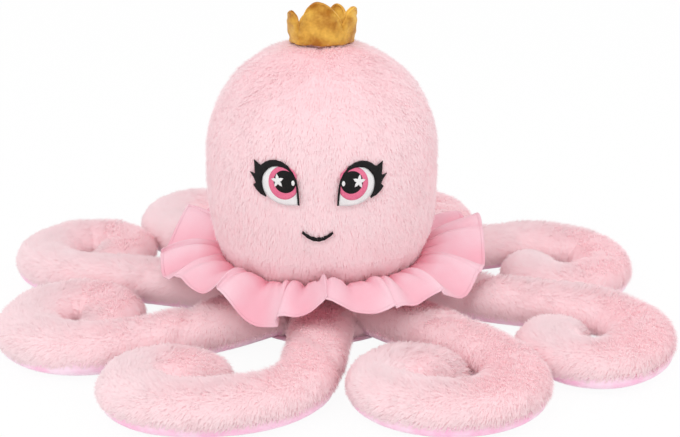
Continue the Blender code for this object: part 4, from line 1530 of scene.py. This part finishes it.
class PlushCollarSettings(bpy.types.PropertyGroup):
    pleats: whole("Pleats", "Gathered pleats round the neck", 48, 8)
    pleat_depth: measure("Pleat depth", "Depth of a pleat", 0.0036)
    folds: whole("Folds", "Broad folds round the rim", 16, 4)
    fold_depth: measure("Fold depth", "Depth of a broad fold", 0.0078)
    chiffon_light: colour("Chiffon", "Lighter colour", (1.0, 0.70, 0.78))
    chiffon_deep: colour("Chiffon deep", "Deeper colour", (1.0, 0.60, 0.69))
    hem: measure("Hem", "Width of the rolled hem", 0.0026)


class PlushFaceSettings(bpy.types.PropertyGroup):
    lift: measure("Lift", "Height of the stitching over the pile", -0.0006)
    iris_colour: colour("Iris", "Colour of the iris thread", (0.87, 0.20, 0.33))


class PlushStudioSettings(bpy.types.PropertyGroup):
    world: amount("World", "Light from all round", 0.92)
    key: amount("Key", "Power of the large high light", 14.0)
    fill: amount("Fill", "Power of the side light", 5.0)
    front: amount("Front", "Power of the low front light", 1.2)


# Operators


class PLUSH_OT_face(bpy.types.Operator):
    """Stitches the eyes and the mouth"""

    bl_idname = "plush.face"
    bl_label = "Face"

    def execute(self, context):
        embroidery = bpy.data.collections.new("embroidery")
        context.scene.collection.children.link(embroidery)
        make_eye("left", -1)
        make_eye("right", 1)
        make_mouth()
        return {"FINISHED"}


class PLUSH_OT_head(bpy.types.Operator):
    """Makes the furry head panels and the wadding inside"""

    bl_idname = "plush.head"
    bl_label = "Head"

    def execute(self, context):
        # name, first and last bearing, columns, seed
        panels = (
            ("head_front", 180.0, 360.0, 128, 11),
            ("head_back_left", 90.0, 180.0, 64, 12),
            ("head_back_right", 0.0, 90.0, 64, 13),
        )
        for name, first, last, steps, seed in panels:
            panel = head_panel(f"{name}_plush", first, last, steps, seed)
            stand_for(panel, "fur", f"{name}_fur", fill=0.9)
        points, out = head_profile(22)
        outline = [tuple(p - o * WADDING_DEPTH) for p, o in zip(points, out)]
        outline[0] = (0, outline[0][1])
        waist = BODY_RADIUS - WADDING_DEPTH
        outline += [(waist, BODY_TOP_Z), (waist, WADDING_BOTTOM_Z), (0, WADDING_BOTTOM_Z)]
        material = once("loose wadding", filling_material)
        wadding = turned_shell("body_wadding", outline, 72, material)
        stand_for(wadding, "filling", "body_filling", fill=0.9)
        return {"FINISHED"}


class PLUSH_OT_body(bpy.types.Operator):
    """Makes the furry side and the satin base of the body"""

    bl_idname = "plush.body"
    bl_label = "Body"

    def execute(self, context):
        rows = 10
        columns = 96
        points = []
        outer = BODY_RADIUS - context.scene.plush_pile.depth
        inner = outer - BODY_SIDE_THICKNESS
        low, high = BODY_SIDE_Z
        for radius, first, last in ((outer, low, high), (inner, high, low)):
            for i in range(rows):
                z = first + (last - first) * i / (rows - 1)
                points += [polar(radius, 2 * pi * j / columns, z) for j in range(columns)]
        faces = grid_faces(2 * rows, columns)
        last = (2 * rows - 1) * columns
        for j in range(columns):
            k = (j + 1) % columns
            faces.append((last + j, last + k, k, j))
        mesh = mesh_of("body_side_plush", points, faces, once("plush backing", backing_material))
        furred = [1.0] * (rows * columns) + [0.0] * (rows * columns)
        set_pile(mesh, [(0.0, 0.0, -1.0)] * len(points), furred, [0.8] * len(points))
        face_outwards(mesh)
        side = add_object("body_side_plush", mesh)
        grow_pile(side, 21, 0.8)
        stand_for(side, "fur", "body_side_fur", fill=0.8)
        base = turned_shell("body_base_sole", BASE_PROFILE, 96, once("sole satin", satin_material))
        stand_for(base, "satin", "body_base_satin")
        area = pi * 0.082**2
        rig.sheet(base, flat=(0.164, 0.164), held="stretched", area=area)
        return {"FINISHED"}


class PLUSH_OT_legs(bpy.types.Operator):
    """Makes the legs: plush, satin soles and wadding, each bending at its root"""

    bl_idname = "plush.legs"
    bl_label = "Legs"

    def execute(self, context):
        for index, (name, leg) in enumerate(LEGS.items()):
            seed = 31 + 3 * index
            for make in (leg_fur, leg_sole, leg_filling):
                bend_with_leg(make(name, leg, seed), name, leg)
        return {"FINISHED"}


class PLUSH_OT_collar(bpy.types.Operator):
    """Makes the gathered chiffon collar, its rolled hem and its tape"""

    bl_idname = "plush.collar"
    bl_label = "Collar"

    def execute(self, context):
        cloth = once("collar chiffon", chiffon_material)
        tape = neck_tape()
        stand_for(tape, "chiffon", "neck_tape")
        frill = cloth_strip("collar_chiffon", 0.0, 1.0, 26, CHIFFON_THICKNESS, cloth)
        start = 1 - context.scene.plush_collar.hem / FRILL_FLAT[1]
        hem = cloth_strip("collar_hem", start, 1.004, 5, HEM_THICKNESS, cloth)
        stand_for(frill, "chiffon", "neck_frill")
        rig.ride(hem, "torso")
        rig.slot(hem, "chiffon")
        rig.sheet(frill, flat=FRILL_FLAT, held="gathered", with_pieces=[hem, tape])
        return {"FINISHED"}


class PLUSH_OT_crown(bpy.types.Operator):
    """Makes the padded velour crown"""

    bl_idname = "plush.crown"
    bl_label = "Crown"

    def execute(self, context):
        velour = once("gold velour", velour_material)
        # name, radius, how far the padding bulges, the solid that it stands for
        walls = (
            ("crown_outer_velour", CROWN_RADIUS + 0.0006, 0.0030, "crown_outer_cloth"),
            ("crown_inner_velour", CROWN_RADIUS - 0.0008, -0.0022, "crown_inner_cloth"),
        )
        for name, radius, bulge, node in walls:
            wall = crown_wall(name, radius, bulge, velour)
            stand_for(wall, "gold_velour", node, fill=0.5)
        return {"FINISHED"}


# Studio


def seen_rays(tree):
    """1 for camera, glossy and transmission rays, else 0."""
    path = add_node(tree, "ShaderNodeLightPath").outputs
    seen = math_node(tree, "MAXIMUM", path["Is Camera Ray"], path["Is Glossy Ray"])
    return math_node(tree, "MAXIMUM", seen, path["Is Transmission Ray"])


def floor_material():
    material, tree, shader = principled("studio floor", 1.0, 0.0, specular=0.0)
    shader.inputs["Base Color"].default_value = (0.93, 0.93, 0.93, 1)
    white = shade(tree, "Emission", {"Color": (1, 1, 1, 1), "Strength": 1.0})
    share = math_node(tree, "MULTIPLY", seen_rays(tree), 0.94)
    mix = shade(tree, "MixShader", {0: share, 1: shader.outputs[0], 2: white})
    tree.links.new(mix, tree.nodes["Material Output"].inputs["Surface"])
    return material


class PLUSH_OT_studio(bpy.types.Operator):
    """Sets the floor, the soft lights and the camera"""

    bl_idname = "plush.studio"
    bl_label = "Studio"

    def execute(self, context):
        look = context.scene.plush_studio
        bpy.ops.mesh.primitive_plane_add(size=14.0, location=(0, 3.0, -0.0006))
        floor = context.active_object
        floor.name = "studio_floor"
        floor.data.materials.append(floor_material())
        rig.stage(floor)
        world = bpy.data.worlds.new("studio_light")
        context.scene.world = world
        world.use_nodes = True
        tree = world.node_tree
        background = tree.nodes["Background"]
        background.inputs["Color"].default_value = (1, 1, 1, 1)
        inputs = {"Factor": seen_rays(tree), "A": look.world, "B": 1.0}
        strength = shade(tree, "Mix", inputs, data_type="FLOAT")
        tree.links.new(strength, background.inputs["Strength"])
        # name, place, power in watts, size in metres
        lamps = (
            ("key_light", (-0.9, -1.5, 2.0), look.key, 1.8),
            ("fill_light", (1.8, -0.6, 1.4), look.fill, 1.6),
            ("front_light", (0.2, -2.0, 0.5), look.front, 1.6),
        )
        for name, place, power, size in lamps:
            lamp = bpy.data.lights.new(name, "AREA")
            lamp.energy = power
            lamp.size = size
            obj = add_object(name, lamp)
            obj.location = place
            aim = Vector((0, 0, 0.12)) - Vector(place)
            obj.rotation_euler = aim.to_track_quat("-Z", "Y").to_euler()
        camera = bpy.data.cameras.new("photo_camera")
        obj = add_object("photo_camera", camera)
        obj.location = CAMERA_AT
        obj.rotation_euler = (radians(90 - CAMERA_PITCH), 0, 0)
        camera.sensor_width = 36.0
        camera.lens = FOCAL_PIXELS / PHOTO_WIDTH * camera.sensor_width
        camera.shift_x = SHIFT_PIXELS / PHOTO_WIDTH
        camera.clip_end = 50.0
        context.scene.camera = obj
        context.scene.view_settings.view_transform = "Standard"
        return {"FINISHED"}


class PLUSH_PT_panel(bpy.types.Panel):
    """The settings and the button of each step"""

    bl_idname = "PLUSH_PT_panel"
    bl_label = "Plush Octopus"
    bl_space_type = "VIEW_3D"
    bl_region_type = "UI"
    bl_category = "Plush Octopus"

    def draw(self, context):
        for label, settings, operator in STEPS:
            box = self.layout.box()
            box.label(text=label)
            group = getattr(context.scene, settings) if settings else None
            for key in group.bl_rna.properties.keys() if group else ():
                if key not in {"rna_type", "name"}:
                    box.prop(group, key)
            box.operator(operator)


STEPS = (
    ("Face", "plush_face", "plush.face"),
    ("Pile and head", "plush_pile", "plush.head"),
    ("Body", None, "plush.body"),
    ("Legs", "plush_legs", "plush.legs"),
    ("Collar", "plush_collar", "plush.collar"),
    ("Crown", None, "plush.crown"),
    ("Studio", "plush_studio", "plush.studio"),
)
SETTINGS = {
    "plush_pile": PlushPileSettings,
    "plush_legs": PlushLegSettings,
    "plush_collar": PlushCollarSettings,
    "plush_face": PlushFaceSettings,
    "plush_studio": PlushStudioSettings,
}
CLASSES = (
    *SETTINGS.values(),
    PLUSH_OT_face,
    PLUSH_OT_head,
    PLUSH_OT_body,
    PLUSH_OT_legs,
    PLUSH_OT_collar,
    PLUSH_OT_crown,
    PLUSH_OT_studio,
    PLUSH_PT_panel,
)


def register():
    for cls in CLASSES:
        bpy.utils.register_class(cls)
    for name, cls in SETTINGS.items():
        setattr(bpy.types.Scene, name, bpy.props.PointerProperty(type=cls))


def unregister():
    for name in SETTINGS:
        delattr(bpy.types.Scene, name)
    for cls in reversed(CLASSES):
        bpy.utils.unregister_class(cls)


def main():
    register()
    bpy.ops.plush.face()
    bpy.ops.plush.head()
    bpy.ops.plush.body()
    bpy.ops.plush.legs()
    bpy.ops.plush.collar()
    bpy.ops.plush.crown()
    bpy.ops.plush.studio()
    seen = [list(corner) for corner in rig.bounds()]
    with open("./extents.json", "w") as out:
        json.dump({"cad": CAD_BOX, "visual": seen}, out)


if __name__ == "__main__":
    main()
